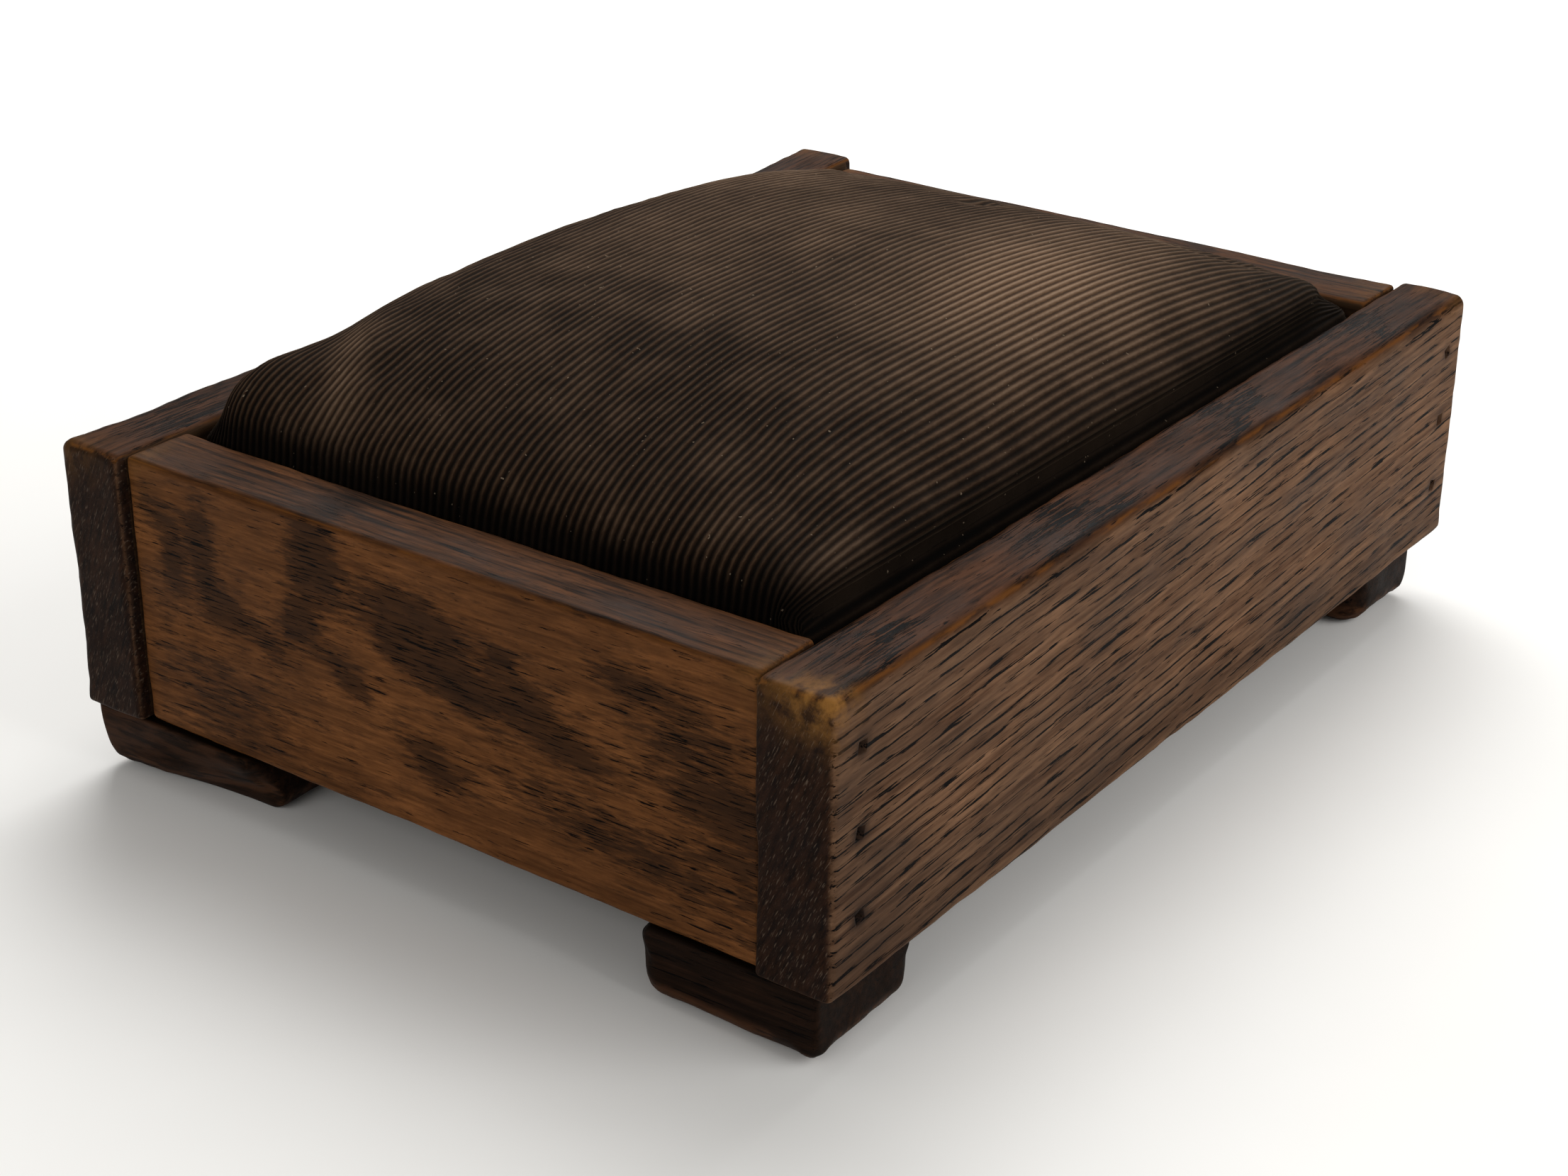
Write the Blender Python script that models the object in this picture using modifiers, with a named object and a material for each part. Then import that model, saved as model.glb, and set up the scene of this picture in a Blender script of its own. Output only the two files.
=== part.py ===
"""Box footstool: a nailed oak frame on four feet, with an upholstered pad that drops into it.

Metres, +Z up. The origin is under the middle of the footstool, on the floor. The long boards run
along X, the front one at -Y and the back one at +Y; the two shorter end boards fit between them.
"""
import math
from collections import namedtuple

import bmesh
import bpy
from mathutils import Matrix, Vector

# Driving dimensions
LENGTH = 0.305  # over the ends of the long boards
WIDTH = 0.228  # over the faces of the long boards
BOARD_HEIGHT = 0.071
SIDE_THICKNESS = 0.0199
END_THICKNESS = 0.0198
END_SETBACK = 0.003  # how far the long boards' ends stand proud of the end boards' faces
END_DROP = 0.0005  # how far the end boards' tops lie below the long boards' tops
SIDE_EDGE_ROUND = 0.0026
END_EDGE_ROUND = 0.0018

FOOT_HEIGHT = 0.019
FOOT_ALONG_SIDE = 0.033
FOOT_ALONG_END = 0.050
FOOT_INSET_X = 0.0020
FOOT_INSET_Y = 0.0015
FOOT_UNDER_ROUND = 0.0070
FOOT_END_ROUND = 0.0080

CLEAT_WIDTH = 0.012
CLEAT_HEIGHT = 0.012
CLEAT_END_GAP = 0.004
CLEAT_EDGE_ROUND = 0.0008

PAD_SEAT_DEPTH = 0.022  # from the frame's top edge down to the cleats' tops
PAD_SIDE_GAP = 0.0015
PAD_END_GAP = 0.0008
PAD_RISE = 0.028  # the crown's height over the frame's top edge
PAD_EDGE_DROP = 0.003  # where the crown starts, below the frame's top edge
PAD_CORNER = 0.008
PAD_BOARD_THICKNESS = 0.0065
COVER_THICKNESS = 0.0014
HEM_BEYOND_TACKS = 0.007

# Clearances
JOINT_GAP = 0.0003  # between flat faces that touch
NAIL_CLEARANCE = 0.0004
TACK_CLEARANCE = 0.0003
TACK_TO_CLEAT = 0.002
PAD_BOARD_CLEARANCE = 0.0008
STUFFING_CLEARANCE = 0.0007

# Fasteners
Nail = namedtuple("Nail", "head_side head_thick shank_side tip_side length sink")
FRAME_NAIL = Nail(0.0022, 0.0010, 0.0018, 0.0008, 0.036, 0.0012)
FOOT_NAIL = Nail(0.0026, 0.0010, 0.0020, 0.0009, 0.030, 0.0012)
CLEAT_NAIL = Nail(0.0020, 0.0008, 0.0016, 0.0008, 0.023, 0.0005)
FRAME_NAIL_FROM_END = 0.0105
FRAME_NAIL_FROM_TOP = 0.014
FRAME_NAIL_FROM_BOTTOM = 0.017
FOOT_NAIL_FROM_END = 0.011
CLEAT_NAIL_FROM_END = 0.030
CLEAT_NAILS = 3
TACK_HEAD_RADIUS = 0.004
TACK_HEAD_HEIGHT = 0.0014
TACK_SHANK_RADIUS = 0.0009
TACK_TIP_RADIUS = 0.0003
TACK_LENGTH = 0.0074
TACKS_ALONG_SIDE = 4
TACKS_ALONG_END = 3
TACK_FROM_CORNER = 0.036

# Resolution
EDGE_SEGMENTS = 3
FOOT_SEGMENTS = 4
CORNER_STEPS = 5
CROWN_STEPS = 8
CROWN_LAST_ANGLE = math.radians(86)
CROWN_CORNER_GROWTH = 0.5  # how fast the pad's corners round off towards the crown
CROWN_SIDE_POWER = 0.5  # flattens the crown's middle
TURNED_STEPS = 12
OVERSHOOT = 0.001  # how far a cutter runs past the face it opens
MERGE = 0.00001

# Derived heights and half sizes
FRAME_BOTTOM = FOOT_HEIGHT + JOINT_GAP
FRAME_TOP = FRAME_BOTTOM + BOARD_HEIGHT
HALF_LENGTH = LENGTH / 2
HALF_WIDTH = WIDTH / 2
INNER_HALF_LENGTH = HALF_LENGTH - END_SETBACK - END_THICKNESS
INNER_HALF_WIDTH = HALF_WIDTH - SIDE_THICKNESS
SEAT = FRAME_TOP - PAD_SEAT_DEPTH
PAD_UNDERSIDE = SEAT + JOINT_GAP
PAD_HALF_LENGTH = INNER_HALF_LENGTH - PAD_END_GAP
PAD_HALF_WIDTH = INNER_HALF_WIDTH - PAD_SIDE_GAP
PAD_BOARD_BOTTOM = PAD_UNDERSIDE + COVER_THICKNESS + JOINT_GAP
PAD_BOARD_TOP = PAD_BOARD_BOTTOM + PAD_BOARD_THICKNESS
CROWN_START = FRAME_TOP - PAD_EDGE_DROP
CROWN_HEIGHT = PAD_RISE + PAD_EDGE_DROP
PAD_BOARD_INSET = COVER_THICKNESS + PAD_BOARD_CLEARANCE
STUFFING_INSET = COVER_THICKNESS + STUFFING_CLEARANCE
TACK_INSET = CLEAT_WIDTH + TACK_HEAD_RADIUS + TACK_TO_CLEAT
HEM_WIDTH = TACK_INSET + HEM_BEYOND_TACKS

Placed = namedtuple("Placed", "name nail point direction pierces")


def clear_scene():
    for obj in list(bpy.data.objects):
        bpy.data.objects.remove(obj, do_unlink=True)


def new_collection(name):
    collection = bpy.data.collections.new(name)
    bpy.context.scene.collection.children.link(collection)
    return collection


def new_material(name, colour, roughness, metallic=0.0):
    material = bpy.data.materials.new(name)
    material.use_nodes = True
    shader = material.node_tree.nodes["Principled BSDF"]
    shader.inputs["Base Color"].default_value = (*colour, 1.0)
    shader.inputs["Roughness"].default_value = roughness
    shader.inputs["Metallic"].default_value = metallic
    return material


clear_scene()
PARTS = new_collection("box_footstool")
CUTTERS = new_collection("cutters")
OAK_SIDE = new_material("oak_side", (0.110, 0.052, 0.027), 0.55)
OAK_END = new_material("oak_end", (0.140, 0.058, 0.024), 0.50)
OAK_FOOT = new_material("oak_foot", (0.060, 0.028, 0.016), 0.60)
PINE = new_material("pine", (0.420, 0.270, 0.140), 0.75)
IRON = new_material("nail_iron", (0.060, 0.052, 0.048), 0.60, 0.9)
STEEL = new_material("tack_steel", (0.130, 0.110, 0.095), 0.45, 0.9)
HORSEHAIR = new_material("stuffing", (0.240, 0.190, 0.140), 0.95)
CORDUROY = new_material("corduroy", (0.047, 0.031, 0.018), 0.90)


def add_object(name, mesh, material, location=(0, 0, 0), parent=None):
    """Adds a part; its location is counted from its parent's when it has one."""
    obj = bpy.data.objects.new(name, mesh)
    obj.location = location
    obj.parent = parent
    obj.data.materials.append(material)
    PARTS.objects.link(obj)
    return obj


def finish_mesh(name, bm):
    bmesh.ops.recalc_face_normals(bm, faces=bm.faces)
    mesh = bpy.data.meshes.new(name)
    bm.to_mesh(mesh)
    bm.free()
    return mesh


def box_mesh(name, size):
    bm = bmesh.new()
    bmesh.ops.create_cube(bm, size=1.0)
    bmesh.ops.scale(bm, vec=size, verts=bm.verts)
    return finish_mesh(name, bm)


def round_edges(obj, width):
    bevel = obj.modifiers.new("rounded edges", "BEVEL")
    bevel.width = width
    bevel.segments = EDGE_SEGMENTS
    bevel.limit_method = "ANGLE"


def cut(obj, cutter_mesh):
    cutter = bpy.data.objects.new(obj.name + "_holes", cutter_mesh)
    cutter.display_type = "WIRE"
    cutter.hide_render = True
    CUTTERS.objects.link(cutter)
    boolean = obj.modifiers.new("holes", "BOOLEAN")
    boolean.operation = "DIFFERENCE"
    boolean.solver = "EXACT"
    boolean.object = cutter


def aim(direction):
    """Rotation that turns a fastener, drawn pointing down, to its own direction."""
    return Vector((0, 0, -1)).rotation_difference(Vector(direction)).to_matrix().to_4x4()


def turned_mesh(name, profile):
    """An open profile of (radius, height) points, to be turned by a Screw modifier."""
    bm = bmesh.new()
    verts = [bm.verts.new((radius, 0, height)) for radius, height in profile]
    for first, second in zip(verts, verts[1:]):
        bm.edges.new((first, second))
    mesh = bpy.data.meshes.new(name)
    bm.to_mesh(mesh)
    bm.free()
    return mesh


def add_turned(name, profile, steps, material, matrix, parent=None):
    obj = add_object(name, turned_mesh(name, profile), material, parent=parent)
    obj.matrix_local = matrix
    screw = obj.modifiers.new("turned", "SCREW")
    screw.axis = "Z"
    screw.steps = steps
    screw.render_steps = steps
    screw.use_merge_vertices = True
    screw.merge_threshold = MERGE
    return obj


def nail_holes(name, placed_nails):
    """One square tapered hole for each nail, a clearance larger than the nail."""
    bm = bmesh.new()
    for placed in placed_nails:
        nail = placed.nail
        depth = nail.sink + nail.length + NAIL_CLEARANCE + OVERSHOOT
        middle = Vector(placed.point) + Vector(placed.direction) * (depth / 2 - OVERSHOOT)
        turn = aim(placed.direction) @ Matrix.Rotation(math.radians(45), 4, "Z")
        bmesh.ops.create_cone(
            bm,
            cap_ends=True,
            segments=4,
            radius1=(nail.tip_side / 2 + NAIL_CLEARANCE) * math.sqrt(2),
            radius2=(nail.head_side / 2 + NAIL_CLEARANCE) * math.sqrt(2),
            depth=depth,
            matrix=Matrix.Translation(middle) @ turn,
        )
    return finish_mesh(name, bm)


def add_nail(placed):
    """A cut nail: four flat sides that taper to a blunt tip, under a small square head."""
    nail = placed.nail
    corner = math.sqrt(2) / 2
    profile = [
        (0, 0),
        (nail.head_side * corner, 0),
        (nail.head_side * corner, -nail.head_thick),
        (nail.shank_side * corner, -nail.head_thick),
        (nail.tip_side * corner, -nail.length),
        (0, -nail.length),
    ]
    head = Vector(placed.point) + Vector(placed.direction) * nail.sink
    turn = aim(placed.direction) @ Matrix.Rotation(math.radians(45), 4, "Z")
    add_turned(placed.name, profile, 4, IRON, Matrix.Translation(head) @ turn)


def frame_nails():
    """Three nails at each corner, through a long board and into the end of an end board."""
    low = FRAME_BOTTOM + FRAME_NAIL_FROM_BOTTOM
    high = FRAME_TOP - FRAME_NAIL_FROM_TOP
    heights = {"bottom": low, "middle": (low + high) / 2, "top": high}
    nails = []
    for side, y_sign in (("front", -1), ("back", 1)):
        for end, x_sign in (("left", -1), ("right", 1)):
            for level, height in heights.items():
                point = (x_sign * (HALF_LENGTH - FRAME_NAIL_FROM_END), y_sign * HALF_WIDTH, height)
                pierces = ("side_board_" + side, "end_board_" + end)
                name = f"frame_nail_{side}_{end}_{level}"
                nails.append(Placed(name, FRAME_NAIL, point, (0, -y_sign, 0), pierces))
    return nails


def foot_nails():
    """Two nails up through each foot, one into the long board and one into the end board."""
    nails = []
    for side, y_sign in (("front", -1), ("back", 1)):
        for end, x_sign in (("left", -1), ("right", 1)):
            foot = f"foot_{side}_{end}"
            along_side = HALF_LENGTH - FOOT_INSET_X - FOOT_ALONG_SIDE + FOOT_NAIL_FROM_END
            in_side = HALF_WIDTH - SIDE_THICKNESS / 2
            along_end = HALF_WIDTH - FOOT_INSET_Y - FOOT_ALONG_END + FOOT_NAIL_FROM_END
            in_end = HALF_LENGTH - END_SETBACK - END_THICKNESS / 2
            spots = (
                ("outer", along_side, in_side, "side_board_" + side),
                ("inner", in_end, along_end, "end_board_" + end),
            )
            for label, x, y, board in spots:
                point = (x_sign * x, y_sign * y, 0)
                name = f"foot_nail_{side}_{end}_{label}"
                nails.append(Placed(name, FOOT_NAIL, point, (0, 0, 1), (foot, board)))
    return nails


def spread(half_span, count):
    """Evenly spaced places from -half_span to +half_span."""
    return [half_span * (2 * i / (count - 1) - 1) for i in range(count)]


def cleat_nails():
    """Nails from inside the box, through each cleat and into its long board."""
    height = SEAT - CLEAT_HEIGHT / 2
    half_span = INNER_HALF_LENGTH - CLEAT_END_GAP - CLEAT_NAIL_FROM_END
    nails = []
    for side, y_sign in (("front", -1), ("back", 1)):
        face = INNER_HALF_WIDTH - JOINT_GAP - CLEAT_WIDTH
        for number, x in enumerate(spread(half_span, CLEAT_NAILS), start=1):
            pierces = ("cleat_" + side, "side_board_" + side)
            name = f"cleat_nail_{side}_{number}"
            point = (x, y_sign * face, height)
            nails.append(Placed(name, CLEAT_NAIL, point, (0, y_sign, 0), pierces))
    return nails


ALL_NAILS = frame_nails() + foot_nails() + cleat_nails()


def cut_nail_holes(obj):
    through = [placed for placed in ALL_NAILS if obj.name in placed.pierces]
    cut(obj, nail_holes(obj.name + "_holes", through))


def add_side_boards():
    for side, y_sign in (("front", -1), ("back", 1)):
        size = (LENGTH, SIDE_THICKNESS, BOARD_HEIGHT)
        centre = (0, y_sign * (HALF_WIDTH - SIDE_THICKNESS / 2), FRAME_BOTTOM + BOARD_HEIGHT / 2)
        name = "side_board_" + side
        board = add_object(name, box_mesh(name, size), OAK_SIDE, centre)
        round_edges(board, SIDE_EDGE_ROUND)
        cut_nail_holes(board)


def add_end_boards():
    height = BOARD_HEIGHT - END_DROP
    for end, x_sign in (("left", -1), ("right", 1)):
        size = (END_THICKNESS, 2 * (INNER_HALF_WIDTH - JOINT_GAP), height)
        middle = HALF_LENGTH - END_SETBACK - END_THICKNESS / 2
        centre = (x_sign * middle, 0, FRAME_BOTTOM + height / 2)
        name = "end_board_" + end
        board = add_object(name, box_mesh(name, size), OAK_END, centre)
        round_edges(board, END_EDGE_ROUND)
        cut_nail_holes(board)


def foot_mesh(name, x_sign, y_sign):
    """A block whose outer corner is at the origin; its underside and inner ends are rounded."""
    bm = bmesh.new()
    bmesh.ops.create_cube(bm, size=1.0)
    bmesh.ops.translate(bm, vec=(0.5, 0.5, 0.5), verts=bm.verts)
    bmesh.ops.scale(bm, vec=(FOOT_ALONG_SIDE, FOOT_ALONG_END, FOOT_HEIGHT), verts=bm.verts)
    under = [edge for edge in bm.edges if all(v.co.z < MERGE for v in edge.verts)]
    bmesh.ops.bevel(
        bm, geom=under, offset=FOOT_UNDER_ROUND, segments=FOOT_SEGMENTS, profile=0.5, affect="EDGES"
    )
    top = [edge for edge in bm.edges if all(v.co.z > FOOT_HEIGHT - MERGE for v in edge.verts)]
    inner = [
        edge
        for edge in top
        if all(v.co.x > FOOT_ALONG_SIDE - MERGE for v in edge.verts)
        or all(v.co.y > FOOT_ALONG_END - MERGE for v in edge.verts)
    ]
    bmesh.ops.bevel(
        bm, geom=inner, offset=FOOT_END_ROUND, segments=FOOT_SEGMENTS, profile=0.5, affect="EDGES"
    )
    bmesh.ops.scale(bm, vec=(x_sign, y_sign, 1), verts=bm.verts)
    return finish_mesh(name, bm)


def add_feet():
    for side, y_sign in (("front", -1), ("back", 1)):
        for end, x_sign in (("left", -1), ("right", 1)):
            name = f"foot_{side}_{end}"
            corner = (x_sign * (HALF_LENGTH - FOOT_INSET_X), y_sign * (HALF_WIDTH - FOOT_INSET_Y), 0)
            foot = add_object(name, foot_mesh(name, -x_sign, -y_sign), OAK_FOOT, corner)
            cut_nail_holes(foot)


def add_cleats():
    length = 2 * (INNER_HALF_LENGTH - CLEAT_END_GAP)
    for side, y_sign in (("front", -1), ("back", 1)):
        middle = INNER_HALF_WIDTH - JOINT_GAP - CLEAT_WIDTH / 2
        centre = (0, y_sign * middle, SEAT - CLEAT_HEIGHT / 2)
        name = "cleat_" + side
        cleat = add_object(name, box_mesh(name, (length, CLEAT_WIDTH, CLEAT_HEIGHT)), PINE, centre)
        round_edges(cleat, CLEAT_EDGE_ROUND)
        cut_nail_holes(cleat)


def tack_places():
    """Names and plan positions of the tacks, round the pad's underside."""
    half_x = PAD_HALF_LENGTH - TACK_INSET
    half_y = PAD_HALF_WIDTH - TACK_INSET
    places = []
    for side, y_sign in (("front", -1), ("back", 1)):
        row = spread(PAD_HALF_LENGTH - TACK_FROM_CORNER, TACKS_ALONG_SIDE)
        for number, x in enumerate(row, start=1):
            places.append((f"cover_tack_{side}_{number}", x, y_sign * half_y))
    for end, x_sign in (("left", -1), ("right", 1)):
        row = spread(PAD_HALF_WIDTH - TACK_FROM_CORNER, TACKS_ALONG_END)
        for number, y in enumerate(row, start=1):
            places.append((f"cover_tack_{end}_{number}", x_sign * half_x, y))
    return places


def tack_holes(name):
    """Round holes up through the hem and into the pad's board."""
    low = PAD_UNDERSIDE - OVERSHOOT
    high = PAD_UNDERSIDE - JOINT_GAP + TACK_LENGTH + TACK_CLEARANCE
    radius = TACK_SHANK_RADIUS + TACK_CLEARANCE
    bm = bmesh.new()
    for _, x, y in tack_places():
        bmesh.ops.create_cone(
            bm,
            cap_ends=True,
            segments=TURNED_STEPS,
            radius1=radius,
            radius2=radius,
            depth=high - low,
            matrix=Matrix.Translation((x, y, (low + high) / 2)),
        )
    return finish_mesh(name, bm)


def add_tacks(lift):
    """Domed upholstery tacks, driven up through the hem."""
    dome = [
        (TACK_HEAD_RADIUS * math.sin(angle), -TACK_HEAD_HEIGHT * math.cos(angle))
        for angle in (math.radians(15 * step) for step in range(1, 7))
    ]
    tip_up = [
        (0, TACK_LENGTH),
        (TACK_TIP_RADIUS, TACK_LENGTH),
        (TACK_SHANK_RADIUS, 0),
    ]
    profile = tip_up + dome[::-1] + [(0, -TACK_HEAD_HEIGHT)]
    for name, x, y in tack_places():
        place = Vector((x, y, PAD_UNDERSIDE - JOINT_GAP)) - lift.location
        add_turned(name, profile, TURNED_STEPS, STEEL, Matrix.Translation(place), lift)


def rounded_ring(bm, half_x, half_y, radius, height):
    """Points of a rectangle with round corners, anticlockwise."""
    radius = min(radius, half_x - MERGE, half_y - MERGE)
    ring = []
    for quarter, (x_sign, y_sign) in enumerate(((1, 1), (-1, 1), (-1, -1), (1, -1))):
        for step in range(CORNER_STEPS + 1):
            angle = math.radians(90) * (quarter + step / CORNER_STEPS)
            x = x_sign * (half_x - radius) + radius * math.cos(angle)
            y = y_sign * (half_y - radius) + radius * math.sin(angle)
            ring.append(bm.verts.new((x, y, height)))
    return ring


def loft(bm, rings):
    for lower, upper in zip(rings, rings[1:]):
        for i in range(len(lower)):
            j = (i + 1) % len(lower)
            bm.faces.new((lower[i], lower[j], upper[j], upper[i]))
    bm.faces.new(rings[-1])


def crown_profile(inward):
    """Inset from the pad's outline, height and corner radius, from its edge up to its crown.

    The curve is a quarter of a superellipse, moved inward along its own normal.
    """
    reach = PAD_HALF_WIDTH
    points = []
    for step in range(CROWN_STEPS + 1):
        angle = CROWN_LAST_ANGLE * step / CROWN_STEPS
        cosine = math.cos(angle)
        inset = reach * (1 - cosine**CROWN_SIDE_POWER)
        height = CROWN_HEIGHT * math.sin(angle) / math.sin(CROWN_LAST_ANGLE)
        run = reach * CROWN_SIDE_POWER * cosine ** (CROWN_SIDE_POWER - 1) * math.sin(angle)
        normal = Vector((CROWN_HEIGHT * cosine, -run)).normalized() * inward
        radius = PAD_CORNER + CROWN_CORNER_GROWTH * inset - normal.x
        points.append((inset + normal.x, CROWN_START + height + normal.y, radius))
    return points


def cover_mesh():
    """The cover's outer skin, from the hem under the board, round the edge and over the crown."""
    turn = COVER_THICKNESS
    profile = [
        (HEM_WIDTH, PAD_UNDERSIDE, PAD_CORNER),
        (turn, PAD_UNDERSIDE, PAD_CORNER - turn),
        (0, PAD_UNDERSIDE + turn, PAD_CORNER),
    ]
    profile += crown_profile(0)
    bm = bmesh.new()
    rings = [
        rounded_ring(bm, PAD_HALF_LENGTH - inset, PAD_HALF_WIDTH - inset, radius, height)
        for inset, height, radius in profile
    ]
    loft(bm, rings)
    mesh = bpy.data.meshes.new("pad_cover")
    bm.to_mesh(mesh)
    bm.free()
    return mesh


def stuffing_mesh():
    """The stuffing, flat on the board and crowned under the cover."""
    bottom = PAD_BOARD_TOP + JOINT_GAP
    corner = PAD_CORNER - STUFFING_INSET
    profile = [(STUFFING_INSET, bottom, corner)] + crown_profile(STUFFING_INSET)
    bm = bmesh.new()
    rings = [
        rounded_ring(bm, PAD_HALF_LENGTH - inset, PAD_HALF_WIDTH - inset, radius, height)
        for inset, height, radius in profile
    ]
    loft(bm, rings)
    bm.faces.new(list(reversed(rings[0])))
    return finish_mesh("pad_stuffing", bm)


def pad_board_mesh():
    corner = PAD_CORNER - PAD_BOARD_INSET
    half_x = PAD_HALF_LENGTH - PAD_BOARD_INSET
    half_y = PAD_HALF_WIDTH - PAD_BOARD_INSET
    bm = bmesh.new()
    levels = (PAD_BOARD_BOTTOM, PAD_BOARD_TOP)
    rings = [rounded_ring(bm, half_x, half_y, corner, level) for level in levels]
    loft(bm, rings)
    bm.faces.new(list(reversed(rings[0])))
    return finish_mesh("pad_board", bm)


def add_pad():
    """The pad's pieces, all hung on an empty where the pad lifts off its cleats."""
    lift = bpy.data.objects.new("pad_lift_point", None)
    lift.location = (0, 0, SEAT)
    PARTS.objects.link(lift)
    down = Matrix.Translation((0, 0, -SEAT))

    board = pad_board_mesh()
    board.transform(down)
    board_object = add_object("pad_board", board, PINE, parent=lift)
    cut(board_object, tack_holes("pad_board_holes"))

    stuffing = stuffing_mesh()
    stuffing.transform(down)
    add_object("pad_stuffing", stuffing, HORSEHAIR, parent=lift)

    cover = cover_mesh()
    cover.transform(down)
    cover_object = add_object("pad_cover", cover, CORDUROY, parent=lift)
    wall = cover_object.modifiers.new("cloth", "SOLIDIFY")
    wall.thickness = COVER_THICKNESS
    wall.offset = -1
    wall.use_even_offset = True
    cut(cover_object, tack_holes("pad_cover_holes"))

    bpy.context.view_layer.update()
    add_tacks(lift)


add_side_boards()
add_end_boards()
add_feet()
add_cleats()
for placed_nail in ALL_NAILS:
    add_nail(placed_nail)
add_pad()
for part in PARTS.objects:
    if part.type == "MESH" and part.name.startswith(("cover_tack", "pad_cover", "pad_stuffing")):
        part.data.shade_smooth()
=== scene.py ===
"""A small antique oak box footstool with a drop-in pad in worn brown corduroy.

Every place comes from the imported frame's nodes and bounds, in metres. The box's
long sides run along X and its front faces -Y. The boards, feet, cleats and the
pad's board are rebuilt as worn timber, the nails and tacks are set by Geometry
Nodes, and the pad is a simulated stuffing with a ribbed cover laid over it.
"""

from __future__ import annotations

import logging
import math
from dataclasses import dataclass, field, replace
from enum import Enum

import bpy
import numpy as np
from mathutils import Matrix, Vector, kdtree


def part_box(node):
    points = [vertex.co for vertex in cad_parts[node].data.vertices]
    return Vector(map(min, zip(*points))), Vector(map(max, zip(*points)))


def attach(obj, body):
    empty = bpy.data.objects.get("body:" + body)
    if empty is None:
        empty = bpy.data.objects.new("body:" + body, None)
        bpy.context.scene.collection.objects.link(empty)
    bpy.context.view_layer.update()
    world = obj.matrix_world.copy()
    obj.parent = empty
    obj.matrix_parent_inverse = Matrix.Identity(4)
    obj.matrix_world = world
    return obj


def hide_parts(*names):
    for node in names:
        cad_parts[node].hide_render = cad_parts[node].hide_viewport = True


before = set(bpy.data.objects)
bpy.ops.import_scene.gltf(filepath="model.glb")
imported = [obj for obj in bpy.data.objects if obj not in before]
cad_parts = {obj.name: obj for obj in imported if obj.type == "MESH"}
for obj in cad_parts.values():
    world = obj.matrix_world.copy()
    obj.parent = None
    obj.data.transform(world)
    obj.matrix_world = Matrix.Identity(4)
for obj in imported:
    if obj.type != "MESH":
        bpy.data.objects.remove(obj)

LOG = logging.getLogger("footstool")
MM = 0.001
Array = np.ndarray
Tree = bpy.types.NodeTree
Socket = bpy.types.NodeSocket
Piece = bpy.types.Object
Finish = bpy.types.Material


class Grain(Enum):
    """The way a piece of timber's grain runs."""

    ALONG_LENGTH = 0
    ALONG_WIDTH = 1


class Body(Enum):
    """The two bodies of the frame that pieces ride on."""

    FRAME = "frame"
    PAD = "pad"


# ---------------------------------------------------------------- colour and nodes

MIX = "ShaderNodeMix"
MATH = "ShaderNodeMath"
NOISE = "ShaderNodeTexNoise"
RAMP = "ShaderNodeValToRGB"
RANGE = "ShaderNodeMapRange"
VECTOR = "ShaderNodeVectorMath"
MARK = "ShaderNodeAttribute"
BUMP = "ShaderNodeBump"
SPLIT = "ShaderNodeSeparateXYZ"


def linear(code: str) -> tuple[float, float, float, float]:
    """Turns an sRGB hex colour to linear light.

    Args:
        code: Six hex digits, such as "5f4a3b".

    Returns:
        Linear red, green and blue, with an alpha of one.
    """
    parts = [int(code[i : i + 2], 16) / 255 for i in (0, 2, 4)]
    return (*[c / 12.92 if c <= 0.04045 else ((c + 0.055) / 1.055) ** 2.4 for c in parts], 1.0)


def add(
    tree: Tree,
    kind: str,
    inputs: dict | tuple = (),
    out: int | str = 0,
    stops: list[tuple[float, object]] | None = None,
    **settings: object,
) -> Socket:
    """Adds a node with its settings and links.

    Args:
        tree: The node tree.
        kind: The node's type name.
        inputs: What each input takes, in order or by name or index: another node's output, or a constant.
        out: The output to give back.
        stops: A colour ramp's places, each with a hex colour or a grey from 0 to 1.
        settings: The node's own properties.

    Returns:
        The chosen output socket, whose node is the new node.
    """
    node = tree.nodes.new(kind)
    for name, value in settings.items():
        setattr(node, name, value)
    for socket, value in inputs.items() if isinstance(inputs, dict) else enumerate(inputs):
        if isinstance(value, Socket):
            tree.links.new(value, node.inputs[socket])
        else:
            node.inputs[socket].default_value = value
    if stops:
        ramp = node.color_ramp
        while len(ramp.elements) < len(stops):
            ramp.elements.new(0.5)
        for element, (place, tone) in zip(ramp.elements, stops):
            element.position = place
            element.color = linear(tone) if isinstance(tone, str) else (tone, tone, tone, 1.0)
    return node.outputs[out] if len(node.outputs) else node


def calc(tree: Tree, operation: str, *values: object, **settings: object) -> Socket:
    """Adds one step of arithmetic on its values."""
    return add(tree, MATH, values, operation=operation, **settings)


def blend(tree: Tree, part: object, first: object, second: object, mode: str = "MIX") -> Socket:
    """Mixes two colours, each a hex code or another node's output.

    Args:
        tree: The material's tree.
        part: How much of the second is taken.
        first: The colour below.
        second: The colour over it.
        mode: How they blend.

    Returns:
        The mixed colour.
    """
    ends = [linear(tone) if isinstance(tone, str) else tone for tone in (first, second)]
    return add(tree, MIX, {0: part, 6: ends[0], 7: ends[1]}, out=2, data_type="RGBA", blend_type=mode)


def figured(tree: Tree, place: object, scale: tuple, detail: float, rough: float) -> Socket:
    """Adds noise that is stretched along the axes.

    Args:
        tree: The node tree.
        place: The coordinates that it reads.
        scale: How many features it has in a metre, along each axis.
        detail: How many finer layers it has.
        rough: How strong they are.

    Returns:
        The noise, about 0.5.
    """
    sized = add(tree, VECTOR, (place, scale), operation="MULTIPLY")
    return add(tree, NOISE, {"Vector": sized, "Scale": 1.0, "Detail": detail, "Roughness": rough})


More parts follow.
